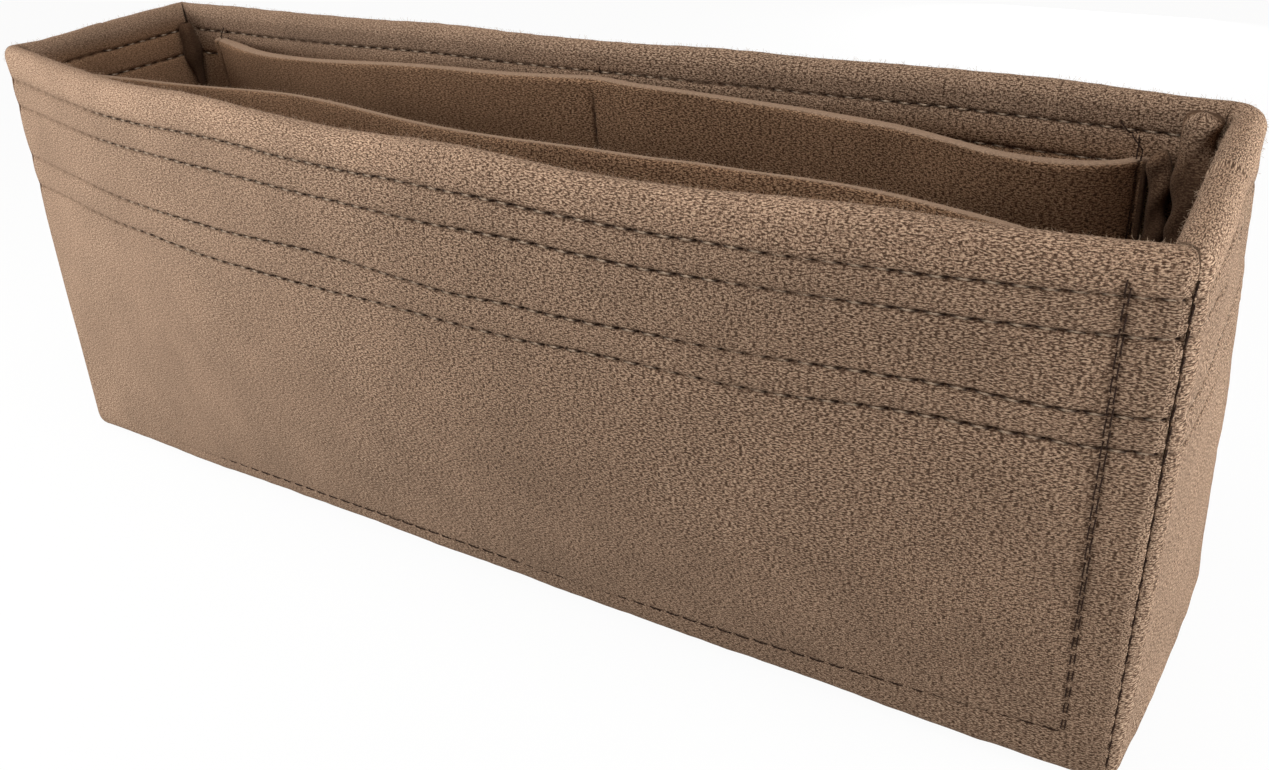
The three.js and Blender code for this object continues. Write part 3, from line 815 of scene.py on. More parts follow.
def seam_paths(shape):
    """Needle holes of every seam, by name, as (path, outward directions) on the outer and the inner face"""
    box, seams, pockets = shape.box, shape.seams, shape.pockets
    random = np.random.default_rng(11)
    paths = {}

    def spaced(first, last):
        count = max(2, round(abs(last - first) / seams.stitch))
        return np.linspace(first, last, count + 1)

    def wander(places, sway=seams.sway):
        waves = [random.uniform(0.02, 0.09) for _ in range(3)]
        starts = [random.uniform(0, 6.28) for _ in range(3)]
        total = sum(np.sin(places * 2 * math.pi / w + s) for w, s in zip(waves, starts))
        return total * sway + random.normal(0, seams.jitter, len(places))

    def on_wall(side, x, z, inset, inwards):
        points = shape.wall_point(side, x, z, inset)
        out = np.zeros_like(points)
        out[:, 1] = -side if inwards else side
        return points, out

    def on_gusset(side, y, z, inset, inwards):
        points = shape.gusset_point(side, y, z, inset)
        out = np.zeros_like(points)
        out[:, 0] = -side if inwards else side
        return points, out

    for wall, side in (("front", FRONT), ("back", BACK)):
        for i, row in enumerate(shape.rows):
            edge = shape.half_length(row) - seams.row_margin
            shift = random.uniform(-0.5, 0.5) * seams.row_margin
            x = spaced(-edge + shift, edge + shift)
            z = row + wander(x)
            inner_edge = edge - shape.flap_inset
            inside = np.abs(x) < inner_edge
            paths[f"{wall}_hem_thread_{i + 1}"] = [
                on_wall(side, x, z, 0, False),
                on_wall(side, x[inside], z[inside], shape.flap_inset, True),
            ]
    for side in (LEFT, RIGHT):
        for i, row in enumerate(shape.rows):
            edge = shape.half_width(row) - seams.row_margin
            y = spaced(-edge, edge)
            z = row + wander(y)
            inside = np.abs(y) < edge - shape.flap_inset
            paths[f"{SIDE_NAMES[side]}_hem_thread_{i + 1}"] = [
                on_gusset(side, y, z, 0, False),
                on_gusset(side, y[inside], z[inside], shape.flap_inset, True),
            ]
    for wall, side_y in (("front", FRONT), ("back", BACK)):
        for side_x in (LEFT, RIGHT):
            z = spaced(box.height - seams.corner_drop, seams.corner_foot)
            radius = box.edge_radius
            below = np.clip(radius - z, 0, radius)
            inset = radius - np.sqrt(radius**2 - below**2)
            x = side_x * (shape.half_length(z) - inset)
            y = side_y * (shape.half_width(z) - inset)
            turn = math.pi / 4 + shape.felt.corner_turn
            out = np.tile([side_x * math.cos(turn), side_y * math.sin(turn), 0.0], (len(z), 1))
            paths[f"{wall}_{SIDE_NAMES[side_x]}_corner_thread"] = [(np.stack([x, y, z], -1), out)]
    for side in (LEFT, RIGHT):
        edge = shape.half_width(0) - box.edge_radius - seams.base_margin
        y = spaced(-edge, edge)
        x = np.full_like(y, side * (shape.half_length(0) - box.edge_radius - shape.felt.base_gap / 2))
        points = np.stack([x, y, np.full_like(y, seams.base_height)], -1)
        out = np.tile([0.0, 0.0, -1.0], (len(y), 1))
        paths[f"{SIDE_NAMES[side]}_base_thread"] = [(points, out)]
    top = box.height - seams.pocket_drop
    for wall, side in (("front", FRONT), ("rear", BACK)):
        half = shape.pocket_span(side) / 2
        panel_top = shape.pocket_top(side)

        def upright(x_at, first, last, slant=0):
            z = spaced(first, last)
            above = np.clip((z - panel_top) / (first - panel_top), 0, 1)
            x = x_at + wander(z, 0.6 * seams.sway) - slant * above
            panel = shape.pocket_inset(side, x, z) + shape.felt.thickness / 2
            inner = np.where(z < panel_top, panel, shape.flap_inset)
            return [on_wall(side, x, z, 0, False), on_wall(side, x, z, inner, True)]

        for side_x in (LEFT, RIGHT):
            runs = []
            for offset, start in ((-1, 0), (1, seams.double_start)):
                x_at = side_x * (half + offset * seams.double_spacing / 2)
                slant = pockets.seam_slant if (side, side_x) == (BACK, RIGHT) else 0
                runs += upright(x_at, top - start, shape.pocket_foot(side, x_at), slant)
            paths[f"{wall}_pocket_{SIDE_NAMES[side_x]}_thread"] = runs
        x = spaced(-half, half)
        z = shape.pocket_foot(side, x) + wander(x)
        paths[f"{wall}_pocket_floor_thread"] = [on_wall(side, x, z, 0, False)]
        if side == BACK:
            paths["rear_pocket_divider_thread"] = upright(0, top, seams.pocket_height)
    return paths


def paths_on(paths, shape, names, face):
    """The settled needle holes of the named seams on one face: 0 for the outer, 1 for the inner"""
    found = []
    for name, runs in paths.items():
        if any(name.startswith(n) for n in names):
            found += [shape.settle(points) for i, (points, _) in enumerate(runs) if i % 2 == face]
    return found


def rim_fuzz(shape, z):
    """Where loose fibres stand off the felt: along the rim's fold"""
    return smooth_step(z, shape.fold_height - FUZZ_START, shape.fold_height + FUZZ_RISE)


def inner_shade(shape, z, depth, fall):
    """Where painted shade makes the felt darker and deeper in colour: inside the box, more and more over a
    fall below the rim
    """
    return smooth_step(depth, *INNER_SHADE_DEPTHS) * smooth_step(shape.box.height - z, fall / 3, fall)


def painted_top_light(shape, z, depth):
    """Where painted light makes the felt paler, on the band that faces up into the light: outside and on the
    fold, above the first row of stitches
    """
    up = smooth_step(z, shape.rows[0] - TOP_LIGHT_START, shape.rows[0] + TOP_LIGHT_RISE)
    return up * (1 - smooth_step(depth, *TOP_LIGHT_DEPTHS))


def worked_face(shape, regular, outer, outward, sewn, end, depth, fall, waves):
    """A panel's outer face with its relief, and the marks of its felt, among them its painted light and
    shade.

    Outer holds the settled points, regular the same points on the regular box, outward a rough way out of the
    felt at each, sewn the relief and mark of the seams, end the distance to the wall's end, depth that behind
    the outer face, fall how far below the rim the inner side is fully shaded, and waves the broad lumps.
    """
    felt = shape.felt
    x, y, z = np.moveaxis(regular, -1, 0)
    relief, seam = sewn
    below_rim = 1 - smooth_step(z, shape.rows[0], shape.fold_height)
    outside = depth < shape.flap_inset / 2
    relief = relief + np.where(outside, corner_relief(felt, end - felt.corner_gap), 0) * below_rim
    notch = np.where((x > 0) & (y > 0), corner_relief(felt, end), 0) * (1 - below_rim)
    relief = relief + felt.notch / felt.corner_dip * notch
    for height, *wave in (waves, SMALL_LUMPS):
        even = lumps(outer, height * shape.box.lump_height, *wave)
        relief = relief + even * smooth_step(end, 0, shape.box.lump_margin)
    face = outer + grid_normals(outer, outward) * relief[..., None]
    face[..., 2] = np.maximum(face[..., 2], 0)
    marks = {
        "seam": seam,
        "cut": 0 * seam,
        # The pale mark is painted top light
        "pale": painted_top_light(shape, z, depth),
        # The inside mark is painted inner shade
        "inside": inner_shade(shape, z, depth, fall),
        "fuzz": rim_fuzz(shape, z),
    }
    return face, marks


def hidden_marks(marks, face):
    """The marks of a panel's hidden face: plain felt, with the full painted shade of the box's inside"""
    return {key: np.full(face.shape[:2], float(key == "inside")) for key in marks}


def cloth_map(along, run):
    """A face's map of the flat cloth, from the places along its width and the runs down its rows"""
    return np.stack(np.broadcast_arrays(along, run[None, :]), -1)


def main_panel_mesh(shape, paths):
    """Front wall, base and back wall in one length of felt, with both hems folded in"""
    box, seams = shape.box, shape.seams
    feet = [shape.pocket_foot(FRONT, side * shape.pocket_span(FRONT) / 2) for side in (LEFT, RIGHT)]
    band = (max(feet[0] - MM, box.edge_radius + 0.3 * MM), feet[1] + MM)
    halves = {
        FRONT: wall_rows(shape, shape.rows, band),
        BACK: wall_rows(shape, [*shape.rows, seams.pocket_height]),
    }
    half_columns = wall_columns(shape)
    places = np.concatenate([-half_columns[:0:-1], half_columns])
    front_end = halves[FRONT][0][-1, 3]
    base_run = 2 * (shape.half_width(0) - box.edge_radius)

    def face(index, base_count):
        parts, runs = [], []
        for side in (FRONT, BACK):
            inset, z, gap, run = halves[side][index].T[:, None, :]
            edge = shape.half_length(z) - inset - gap
            x = np.sign(places)[:, None] * stretched_columns(np.abs(places)[:, None], edge)
            parts.append(shape.wall_point(side, x, z + 0 * x, inset + 0 * x))
            runs.append(run[0])
        front, back = parts[0], parts[1][:, ::-1]
        across = np.linspace(0, 1, base_count + 2)[1:-1]
        bottom = lerp(front[:, -1:], back[:, :1], across[None, :, None])
        back_run = 2 * front_end + base_run - runs[1][::-1]
        run = np.concatenate([runs[0], front_end + base_run * across, back_run])
        return np.concatenate([front, bottom, back], 1), run

    regular, outer_run = face(0, 9)
    regular_inner, inner_run = face(1, 5)
    outer_map = cloth_map(regular[..., 0], outer_run)
    inner_map = cloth_map(regular_inner[..., 0] + 0.5, inner_run)
    outer, inner = shape.settle(regular), shape.settle(regular_inner)

    rows = ["front_hem", "back_hem"]
    hems = SeamField(paths_on(paths, shape, rows, 0) + paths_on(paths, shape, rows, 1))
    ends = SeamField(paths_on(paths, shape, ["front_pocket", "rear_pocket"], 0))
    veil = seams.veil * left_veil(outer)
    hem_relief, hem_mark = sewn_relief(seams, hems, outer, veil)
    end_relief, end_mark = double_relief(seams, ends, outer)
    sewn = hem_relief + end_relief * (1 - veil), np.maximum(hem_mark, end_mark * (1 - veil))

    x, y, z = np.moveaxis(regular, -1, 0)
    end = shape.half_length(z) - np.abs(x)
    depth = np.where(y < 0, shape.wall_reach(FRONT, x, z), shape.wall_reach(BACK, x, z)) - np.abs(y)
    outward = np.broadcast_to([0.0, 0.0, -1.0], outer.shape)
    face, marks = worked_face(shape, regular, outer, outward, sewn, end, depth, WALL_FALL, WALL_LUMPS)
    mesh = felt_mesh("main_felt", face, inner, outer_map, inner_map, marks, hidden_marks(marks, inner))
    return mesh, (box.base_length, float(outer_run[-1]))


def gusset_mesh(shape, paths, side):
    """An end wall with its folded hem, its lower edge curled under to the base"""
    near_end = END_STEPS[:10] / shape.half_width(0)
    shares = np.concatenate([np.linspace(0, 1 - near_end[-1] * 1.25, 40), 1 - near_end[::-1]])
    shares = np.concatenate([-shares[:0:-1], shares])

    def face(table):
        inset, z, gap, run = table.T[:, None, :]
        y = shares[:, None] * (shape.half_width(z) - inset - gap)
        return shape.gusset_point(side, y, z + 0 * y, inset + 0 * y), run[0]

    outer_table, inner_table = wall_rows(shape, shape.rows)
    regular, outer_run = face(outer_table)
    regular_inner, inner_run = face(inner_table)
    outer_map = cloth_map(regular[..., 1] + 2 + side, outer_run)
    inner_map = cloth_map(regular_inner[..., 1] + 6 + side, inner_run)
    outer, inner = shape.settle(regular), shape.settle(regular_inner)

    rows = [f"{SIDE_NAMES[side]}_hem"]
    hems = SeamField(paths_on(paths, shape, rows, 0) + paths_on(paths, shape, rows, 1))
    sewn = sewn_relief(shape.seams, hems, outer)
    x, y, z = np.moveaxis(regular, -1, 0)
    end = shape.half_width(z) - np.abs(y)
    depth = shape.gusset_reach(y, z) - np.abs(x)
    outward = np.broadcast_to([side, 0.0, 0.3], outer.shape)
    waves = (*GUSSET_LUMPS[:-1], GUSSET_LUMPS[-1] + side)
    face, marks = worked_face(shape, regular, outer, outward, sewn, end, depth, GUSSET_FALL, waves)
    name = f"{SIDE_NAMES[side]}_end_felt"
    mesh = felt_mesh(name, face, inner, outer_map, inner_map, marks, hidden_marks(marks, inner))
    return mesh, (shape.box.base_width, float(outer_run[-1]))


def pocket_mesh(shape, paths, side):
    """A slip pocket's panel, flat against its wall at the seams and standing off it between them"""
    felt, seams, pockets = shape.felt, shape.seams, shape.pockets
    top, span = shape.pocket_top(side), shape.pocket_span(side)
    half = span / 2 + pockets.margin
    ends = [0, span / 2 - seams.double_spacing / 2, span / 2 + seams.double_spacing / 2]
    x = near_seams(0, half - SEAM_REACH, PANEL_STEP, ends)
    x = np.unique(np.round(np.concatenate([x, half - CUT_STEPS[::-1]]), 7))
    x = np.concatenate([-x[:0:-1], x])
    rise = np.concatenate([np.linspace(0, 1 - SEAM_REACH / top, 52), 1 - CUT_STEPS[::-1] / top])
    x_grid, rise_grid = np.meshgrid(x, rise, indexing="ij")
    floor = shape.pocket_foot(side, x_grid) - seams.pocket_height + pockets.floor
    edge = top + np.zeros_like(x_grid)
    if side == BACK:
        edge = edge + pockets.rear_sag * through(REAR_EDGE_SHARES, x_grid / (span / 2))
    z_grid = lerp(floor, edge, rise_grid)
    line = np.stack([x_grid, 0 * x_grid, 0 * x_grid + side], -1)
    sag = lumps(line, pockets.edge_wave, 40 * MM, 110 * MM, 5, 21 + side)
    up = np.clip((z_grid - floor) / (edge - floor), 0, 1)
    middle = shape.wall_point(side, x_grid, z_grid, shape.pocket_inset(side, x_grid, z_grid))
    middle = shape.settle(middle)
    middle[..., 2] += sag * up
    normal = grid_normals(middle, np.broadcast_to([0.0, -side, 0.0], middle.shape))
    from_edge = np.minimum(np.minimum(half - np.abs(x_grid), edge - z_grid), z_grid - floor)
    short = np.clip(felt.cut_round - from_edge, 0, felt.cut_round)
    half_thick = felt.thickness / 2 - felt.cut_round + np.sqrt(felt.cut_round**2 - short**2)
    faces, marks = [], []
    names = ["front_pocket" if side == FRONT else "rear_pocket"]
    field = SeamField(paths_on(paths, shape, names, 1))
    for way in (-1, 1):
        grid = middle + way * normal * half_thick[..., None]
        seam = np.zeros(grid.shape[:2])
        relief = lumps(grid, pockets.lump_height, 16 * MM, 50 * MM, 9, 31 + side)
        if way == 1:
            sewn, seam = sewn_relief(seams, field, grid)
            if side == BACK:
                # Painted shade in the dark slit past the rear pocket's end and along its middle seam
                past = smooth_step(x_grid, span / 2, span / 2 + seams.shade_width)
                divider = SeamField(paths_on(paths, shape, ["rear_pocket_divider"], 1)).distances(grid)[0]
                line_shade = seams.divider_shade * np.exp(-((divider / seams.shade_width) ** 2))
                seam = np.maximum(np.maximum(seam, seams.end_shade * past), line_shade)
            relief = relief + sewn * np.clip(from_edge / DRAWN_REACH, 0, 1)
        relief *= np.clip(from_edge / felt.cut_round, 0.2, 1)
        faces.append(grid + way * normal * relief[..., None])
        # Painted light on the cut top edge, which is left out of the painted inner shade
        cut = np.clip(1 - (edge - z_grid) / CUT_REACH, 0, 1)
        marks.append({"seam": seam, "cut": cut, "inside": 1 - cut, "fuzz": cut * CUT_FUZZ})
    name = "front_pocket_felt" if side == FRONT else "rear_pocket_felt"
    flat_map = np.stack([x_grid + 10 + side, z_grid - floor], -1)
    mesh = felt_mesh(name, faces[1], faces[0], flat_map, flat_map, marks[1], marks[0])
    run_along = np.linalg.norm(np.diff(middle[:, -1], axis=0), axis=-1).sum()
    return mesh, (float(run_along), float(top - pockets.floor))


def allowance_mesh(shape, side_x, side_y, name, from_end, width, thick, drop, shade, top_shade):
    """A seam allowance at a corner, turned in along the long wall as a soft fold, with its shaded felt"""
    felt = shape.felt
    under = felt.thickness + felt.clearance if side_y == FRONT else 0
    top = shape.box.height - drop
    z = np.concatenate([np.linspace(felt.allowance_floor, top - 4 * MM, 54), top - CROWN_STEPS])
    turns = np.linspace(0, 2 * math.pi, 40, endpoint=False)
    rounding = np.clip(np.minimum(z - z[0], top - z) / ALLOWANCE_ROUND, 0, 1)
    swell = lerp(ALLOWANCE_TIP, 1, np.sqrt(1 - (1 - rounding) ** 2))
    circle = np.stack([np.cos(turns), np.sin(turns)])
    along, across = np.sign(circle) * np.abs(circle) ** ALLOWANCE_POWER
    z_grid = z[None, :] + 0 * turns[:, None]
    inset = shape.inner_inset(z_grid) + felt.clearance + under + thick / 2
    edge = shape.half_length(z_grid) - shape.inner_inset(z_grid) - from_end - width / 2
    x = side_x * (edge + width / 2 * along[:, None] * swell[None, :])
    y = side_y * (shape.half_width(z_grid) - inset + thick / 2 * across[:, None] * swell[None, :])
    grid = shape.settle(np.stack([x, y, z_grid], -1))
    out = grid - grid.mean(0, keepdims=True)
    out /= np.maximum(np.linalg.norm(out, axis=-1, keepdims=True), 1e-9)
    waves = lumps(grid, felt.allowance_lump, 4 * MM, 26 * MM, 12, 41 + side_x + 3 * side_y)
    grid = grid + out * waves[..., None]
    columns, rows = grid.shape[:2]
    ids = np.arange(columns * rows).reshape(columns, rows)
    following = np.roll(ids, -1, 0)
    faces = np.stack([ids[:, :-1], following[:, :-1], following[:, 1:], ids[:, 1:]], -1)
    faces = faces.reshape(-1, 4).tolist()
    faces += [ids[:, 0].tolist(), ids[::-1, -1].tolist()]
    mesh = bpy.data.meshes.new(name)
    mesh.from_pydata(grid.reshape(-1, 3).tolist(), [], faces)
    mesh.update()
    if mesh_volume(mesh) < 0:
        mesh.flip_normals()
    mesh.polygons.foreach_set("use_smooth", [True] * len(mesh.polygons))
    around = np.linspace(0, 1, columns)[:, None] * (2 * width + 2 * thick) + 0 * z_grid
    write_map(mesh, np.stack([around + 20, z_grid], -1).reshape(-1, 2))
    # Painted shade in the turned-in fold: darker below its top and at its sides, written as its seam and
    # inside marks
    deep = lerp(top_shade, shade, smooth_step(top - z_grid, *ALLOWANCE_FALL))
    deep = np.maximum(deep, shade * smooth_step(np.abs(along[:, None]) + 0 * z_grid, *ALLOWANCE_SIDES))
    write_mark(mesh, "seam", deep)
    write_mark(mesh, "inside", deep)
    return mesh


class Tree:
    """A node tree being built"""

    def __init__(self, tree):
        self.tree = tree

    def node(self, kind, inputs=None, **settings):
        made = self.tree.nodes.new(kind)
        for key, value in settings.items():
            setattr(made, key, value)
        for key, value in (inputs or {}).items():
            self.feed(made.inputs[key], value)
        return made

    def feed(self, socket, value):
        if isinstance(value, bpy.types.NodeSocket):
            self.tree.links.new(value, socket)
        elif isinstance(value, bpy.types.Node):
            self.tree.links.new(value.outputs[0], socket)
        else:
            socket.default_value = value

    def math(self, operation, *values):
        return self.node("ShaderNodeMath", dict(enumerate(values)), operation=operation).outputs[0]

    def vector(self, operation, *values):
        return self.node("ShaderNodeVectorMath", dict(enumerate(values)), operation=operation).outputs[0]

    def scaled(self, vector, factor):
        return self.node("ShaderNodeVectorMath", {0: vector, 3: factor}, operation="SCALE").outputs[0]

    def ranged(self, value, from_low, from_high, to_low=0.0, to_high=1.0):
        limits = {"From Min": from_low, "From Max": from_high, "To Min": to_low, "To Max": to_high}
        return self.node("ShaderNodeMapRange", {"Value": value, **limits}).outputs[0]

    def mixed(self, share, first, second, blend="MIX"):
        inputs = {"Factor": share, 6: first, 7: second}
        return self.node("ShaderNodeMix", inputs, data_type="RGBA", blend_type=blend).outputs[2]

    def noise(self, vector, scale, detail, roughness=0.5, dimensions="2D"):
        inputs = {"Vector": vector, "Scale": scale, "Detail": detail, "Roughness": roughness}
        return self.node("ShaderNodeTexNoise", inputs, noise_dimensions=dimensions).outputs[0]

    def mark(self, name):
        return self.node("ShaderNodeAttribute", attribute_name=name).outputs["Fac"]


def new_group(name, kind, inputs, outputs):
    """An empty node group, its inputs given as names with a kind and a default, its outputs with a kind"""
    group = bpy.data.node_groups.new(name, kind)
    for socket, (data, default) in inputs.items():
        made = group.interface.new_socket(socket, in_out="INPUT", socket_type="NodeSocket" + data)
        if default is not None:
            made.default_value = default
    for socket, data in outputs.items():
        group.interface.new_socket(socket, in_out="OUTPUT", socket_type="NodeSocket" + data)
    return group


def new_material(name):
    """A material, with its tree to build on and its shader"""
    material = bpy.data.materials.new(name)
    material.use_nodes = True
    return material, Tree(material.node_tree), material.node_tree.nodes["Principled BSDF"]


def felt_grain_group():
    """Node group: the matted fibres of felt, as a tone, the pits between them and a height"""
    inputs = {
        "Vector": ("Vector", None),
        "Fibre scale": ("Float", 4000.0),
        "Stretch": ("Float", 0.37),
        "Smoothness": ("Float", 0.0),
    }
    outputs = {"Tone": "Float", "Pits": "Float", "Height": "Float"}
    group = new_group("Felt grain", "ShaderNodeTree", inputs, outputs)
    t = Tree(group)
    given = t.node("NodeGroupInput").outputs
    result = t.node("NodeGroupOutput").inputs
    scaled = t.scaled(given["Vector"], given["Fibre scale"])
    stretch = t.node("ShaderNodeCombineXYZ", {"X": given["Stretch"], "Y": 1.0, "Z": 1.0})
    lying = t.vector("MULTIPLY", scaled, stretch.outputs[0])
    strands = t.noise(lying, 1.1, 1.0)
    matted = t.noise(scaled, 0.85, 2.0, 0.6)
    brushed = t.ranged(t.noise(scaled, 0.005, 1.0), 0.38, 0.62, 0.35, 0.75)
    unbrushed = t.math("SUBTRACT", 1.0, brushed)
    tone = t.math("ADD", t.math("MULTIPLY", strands, brushed), t.math("MULTIPLY", matted, unbrushed))
    rough = t.math("SUBTRACT", 1.0, given["Smoothness"])
    tone = t.math("ADD", t.math("MULTIPLY", t.math("SUBTRACT", tone, 0.5), rough), 0.5)
    pits = t.math("MULTIPLY", t.ranged(t.noise(lying, 0.9, 0.0), 0.43, 0.33, 0.0, 1.0), rough)
    height = t.math("SUBTRACT", tone, t.math("MULTIPLY", pits, 0.3))
    t.feed(result["Tone"], tone)
    t.feed(result["Pits"], pits)
    t.feed(result["Height"], height)
    return group


def felt_material(scene, grain):
    """Thick brushed felt: matted fibres with pits between them, smoother towards the left.

    Painted light makes it paler on the rims' top band and the pockets' cut top edges, and painted shade makes
    it darker inside the box, in the seams and in the allowances.
    """
    colours = scene.insert_colours
    _, t, shader = new_material("Felt")
    run = t.node("ShaderNodeUVMap", uv_map=RUN_MAP).outputs[0]
    place = t.node("ShaderNodeTexCoord")
    sides = t.node("ShaderNodeSeparateXYZ", {"Vector": place.outputs["Object"]})
    fine = t.node("ShaderNodeGroup", node_tree=grain)
    t.feed(fine.inputs["Vector"], run)
    t.feed(fine.inputs["Smoothness"], t.ranged(sides.outputs["X"], 0.01, -0.08, 0.0, 0.5))
    felt, fibre, pit = ((*each, 1) for each in (colours.felt, colours.fibre, colours.pit))
    dark = [lerp(p, f, colours.dark_share) for p, f in zip(pit, felt)]
    low = t.mixed(t.ranged(fine.outputs["Tone"], 0.36, 0.48), dark, felt)
    body = t.mixed(t.ranged(fine.outputs["Tone"], 0.46, 0.62), low, fibre)
    body = t.mixed(t.math("MULTIPLY", fine.outputs["Pits"], colours.pit_share), body, pit)
    mottle = t.ranged(t.noise(run, 60.0, 3.0), 0.3, 0.7, 0.92, 1.06)
    broad = t.ranged(t.noise(run, 9.0, 1.0), 0.3, 0.7, -0.04, 0.04)
    body = t.scaled(body, t.math("ADD", mottle, broad))
    # Painted light: the rims' top band is painted lighter where it faces up into the light
    body = t.scaled(body, t.math("ADD", 1.0, t.math("MULTIPLY", t.mark("pale"), colours.top_light_gain)))
    # Painted shade: the inside of the box, the pockets and the allowances are painted darker and deeper in
    # colour
    body = t.mixed(t.mark("inside"), body, (*colours.inside, 1), "MULTIPLY")
    # Painted light: the pockets' cut top edges are painted paler where they face up into the light
    body = t.mixed(t.math("MULTIPLY", t.mark("cut"), colours.cut_share), body, (*colours.cut, 1))
    # Painted shade: the seams' grooves and needle holes, and the allowances, are painted dark with the pits'
    # colour
    body = t.mixed(t.math("MULTIPLY", t.mark("seam"), colours.seam_share), body, pit)
    relief = {"Strength": 0.6, "Distance": scene.insert_felt.grain_height, "Height": fine.outputs["Height"]}
    t.feed(shader.inputs["Base Color"], body)
    t.feed(shader.inputs["Normal"], t.node("ShaderNodeBump", relief))
    t.feed(shader.inputs["Roughness"], 0.95)
    t.feed(shader.inputs["Specular IOR Level"], 0.08)
    t.feed(shader.inputs["Sheen Weight"], 0.08)
    t.feed(shader.inputs["Sheen Roughness"], 0.6)
    t.feed(shader.inputs["Sheen Tint"], fibre)


def fibre_material(scene):
    """Single loose fibres of the felt"""
    _, t, shader = new_material("Loose fibre")
    t.feed(shader.inputs["Base Color"], (*scene.insert_colours.fibre, 1))
    t.feed(shader.inputs["Roughness"], 0.8)


def thread_material(scene):
    """Twisted sewing thread, with a painted highlight where it lies on the felt and painted shade where it
    dives in
    """
    colours, seams = scene.insert_colours, scene.insert_seams
    _, t, shader = new_material("Thread")
    # Painted highlight where the thread lies on the felt, painted shade where it dives in
    bare = t.mixed(t.mark("shine"), (*colours.thread, 1), (*colours.thread_light, 1))
    veiled = t.math("MULTIPLY", t.mark("veil"), seams.veil)
    fibres = t.noise(t.node("ShaderNodeTexCoord").outputs["Object"], 9000.0, 2.0, dimensions="3D")
    relief = {"Strength": 0.4, "Distance": seams.thread_grain, "Height": fibres}
    t.feed(shader.inputs["Base Color"], t.mixed(veiled, bare, (*colours.felt, 1)))
    t.feed(shader.inputs["Normal"], t.node("ShaderNodeBump", relief))
    t.feed(shader.inputs["Roughness"], 0.7)
    t.feed(shader.inputs["Specular IOR Level"], 0.15)


def sewn_thread_tree():
    """Geometry nodes: a two-ply thread that dives into a needle hole after every stitch of its path"""
    inputs = {
        "Geometry": ("Geometry", None),
        "Stitches": ("Int", 10),
        "Thread diameter": ("Float", 0.00055),
        "Lift": ("Float", 0.0001),
        "Dive": ("Float", 0.001),
        "Drift": ("Float", 0.0001),
        "Slant": ("Float", 0.0001),
        "Shine": ("Float", 1.0),
        "Twist length": ("Float", 0.0022),
        "Seed": ("Int", 0),
        "Material": ("Material", None),
    }
    tree = new_group("Sewn thread", "GeometryNodeTree", inputs, {"Geometry": "Geometry"})
    t = Tree(tree)
    given = t.node("NodeGroupInput").outputs
    curve = t.node("GeometryNodeMeshToCurve", {"Mesh": given["Geometry"]})
    steps_to_stitch, steepness = 10.0, 5.0
    count = t.math("ADD", t.math("MULTIPLY", given["Stitches"], steps_to_stitch), 1.0)
    fine = t.node("GeometryNodeResampleCurve", {"Curve": curve.outputs[0], "Count": count})
    along = t.node("GeometryNodeSplineParameter")
    phase = t.math("MULTIPLY", along.outputs["Factor"], given["Stitches"])
    number = t.math("FLOOR", phase)
    part = t.math("SUBTRACT", phase, number)
    bend = t.math("ABSOLUTE", t.math("SUBTRACT", t.math("MULTIPLY", part, 2.0), 1.0))
    steep = t.math("POWER", bend, steepness)
    rise = t.math("MULTIPLY", t.math("SUBTRACT", 1.0, steep), given["Lift"])
    sink = t.math("MULTIPLY", steep, given["Dive"])
    out = t.node("GeometryNodeInputNamedAttribute", {"Name": "out"}, data_type="FLOAT_VECTOR")
    tangent = t.node("GeometryNodeInputTangent")
    across = t.vector("CROSS_PRODUCT", tangent.outputs[0], out.outputs[0])
    chance = t.node("FunctionNodeRandomValue", data_type="FLOAT")
    t.feed(chance.inputs[2], -1.0)
    t.feed(chance.inputs[3], 1.0)
    t.feed(chance.inputs["ID"], number)
    t.feed(chance.inputs["Seed"], given["Seed"])
    drift = t.math("MULTIPLY", chance.outputs[1], given["Drift"])
    drift = t.math("MULTIPLY", drift, t.math("SUBTRACT", 1.0, steep))
    turned = t.math("MULTIPLY", t.math("SUBTRACT", part, 0.5), given["Slant"])
    up = t.scaled(out.outputs[0], t.math("SUBTRACT", rise, sink))
    aside = t.scaled(across, t.math("ADD", drift, turned))
    # The shine mark: the painted highlight on top of each stitch, none where it dives into the hole and takes
    # the painted shade
    lying = t.math("MULTIPLY", t.ranged(bend, 0.12, 0.5, 1.0, 0.0), given["Shine"])
    mark = {"Geometry": fine.outputs[0], "Name": "shine", "Value": lying}
    marked = t.node("GeometryNodeStoreNamedAttribute", mark, data_type="FLOAT")
    moved = t.node("GeometryNodeSetPosition", {"Geometry": marked.outputs[0]})
    t.feed(moved.inputs["Offset"], t.vector("ADD", up, aside))
    turn = t.math("MULTIPLY", t.math("DIVIDE", along.outputs["Length"], given["Twist length"]), 2 * math.pi)
    twisted = t.node("GeometryNodeSetCurveTilt", {"Curve": moved.outputs[0], "Tilt": turn})
    quarter = t.math("DIVIDE", given["Thread diameter"], 4.0)
    radius = t.math("MULTIPLY", quarter, 1.15)
    strand = t.node("GeometryNodeCurvePrimitiveCircle", {"Resolution": 6, "Radius": radius})
    both = t.node("GeometryNodeJoinGeometry")
    for sign in (-1.0, 1.0):
        shift = t.node("ShaderNodeCombineXYZ", {"X": t.math("MULTIPLY", quarter, sign)})
        placed = t.node("GeometryNodeTransform", {"Geometry": strand, "Translation": shift})
        t.feed(both.inputs[0], placed)
    sweep = {"Curve": twisted, "Profile Curve": both, "Fill Caps": True}
    tube = t.node("GeometryNodeCurveToMesh", sweep)
    soft = t.node("GeometryNodeSetShadeSmooth", {"Geometry": tube})
    real = t.node("GeometryNodeRealizeInstances", {"Geometry": soft})
    finished = t.node("GeometryNodeSetMaterial", {"Geometry": real, "Material": given["Material"]})
    t.node("NodeGroupOutput", {0: finished})


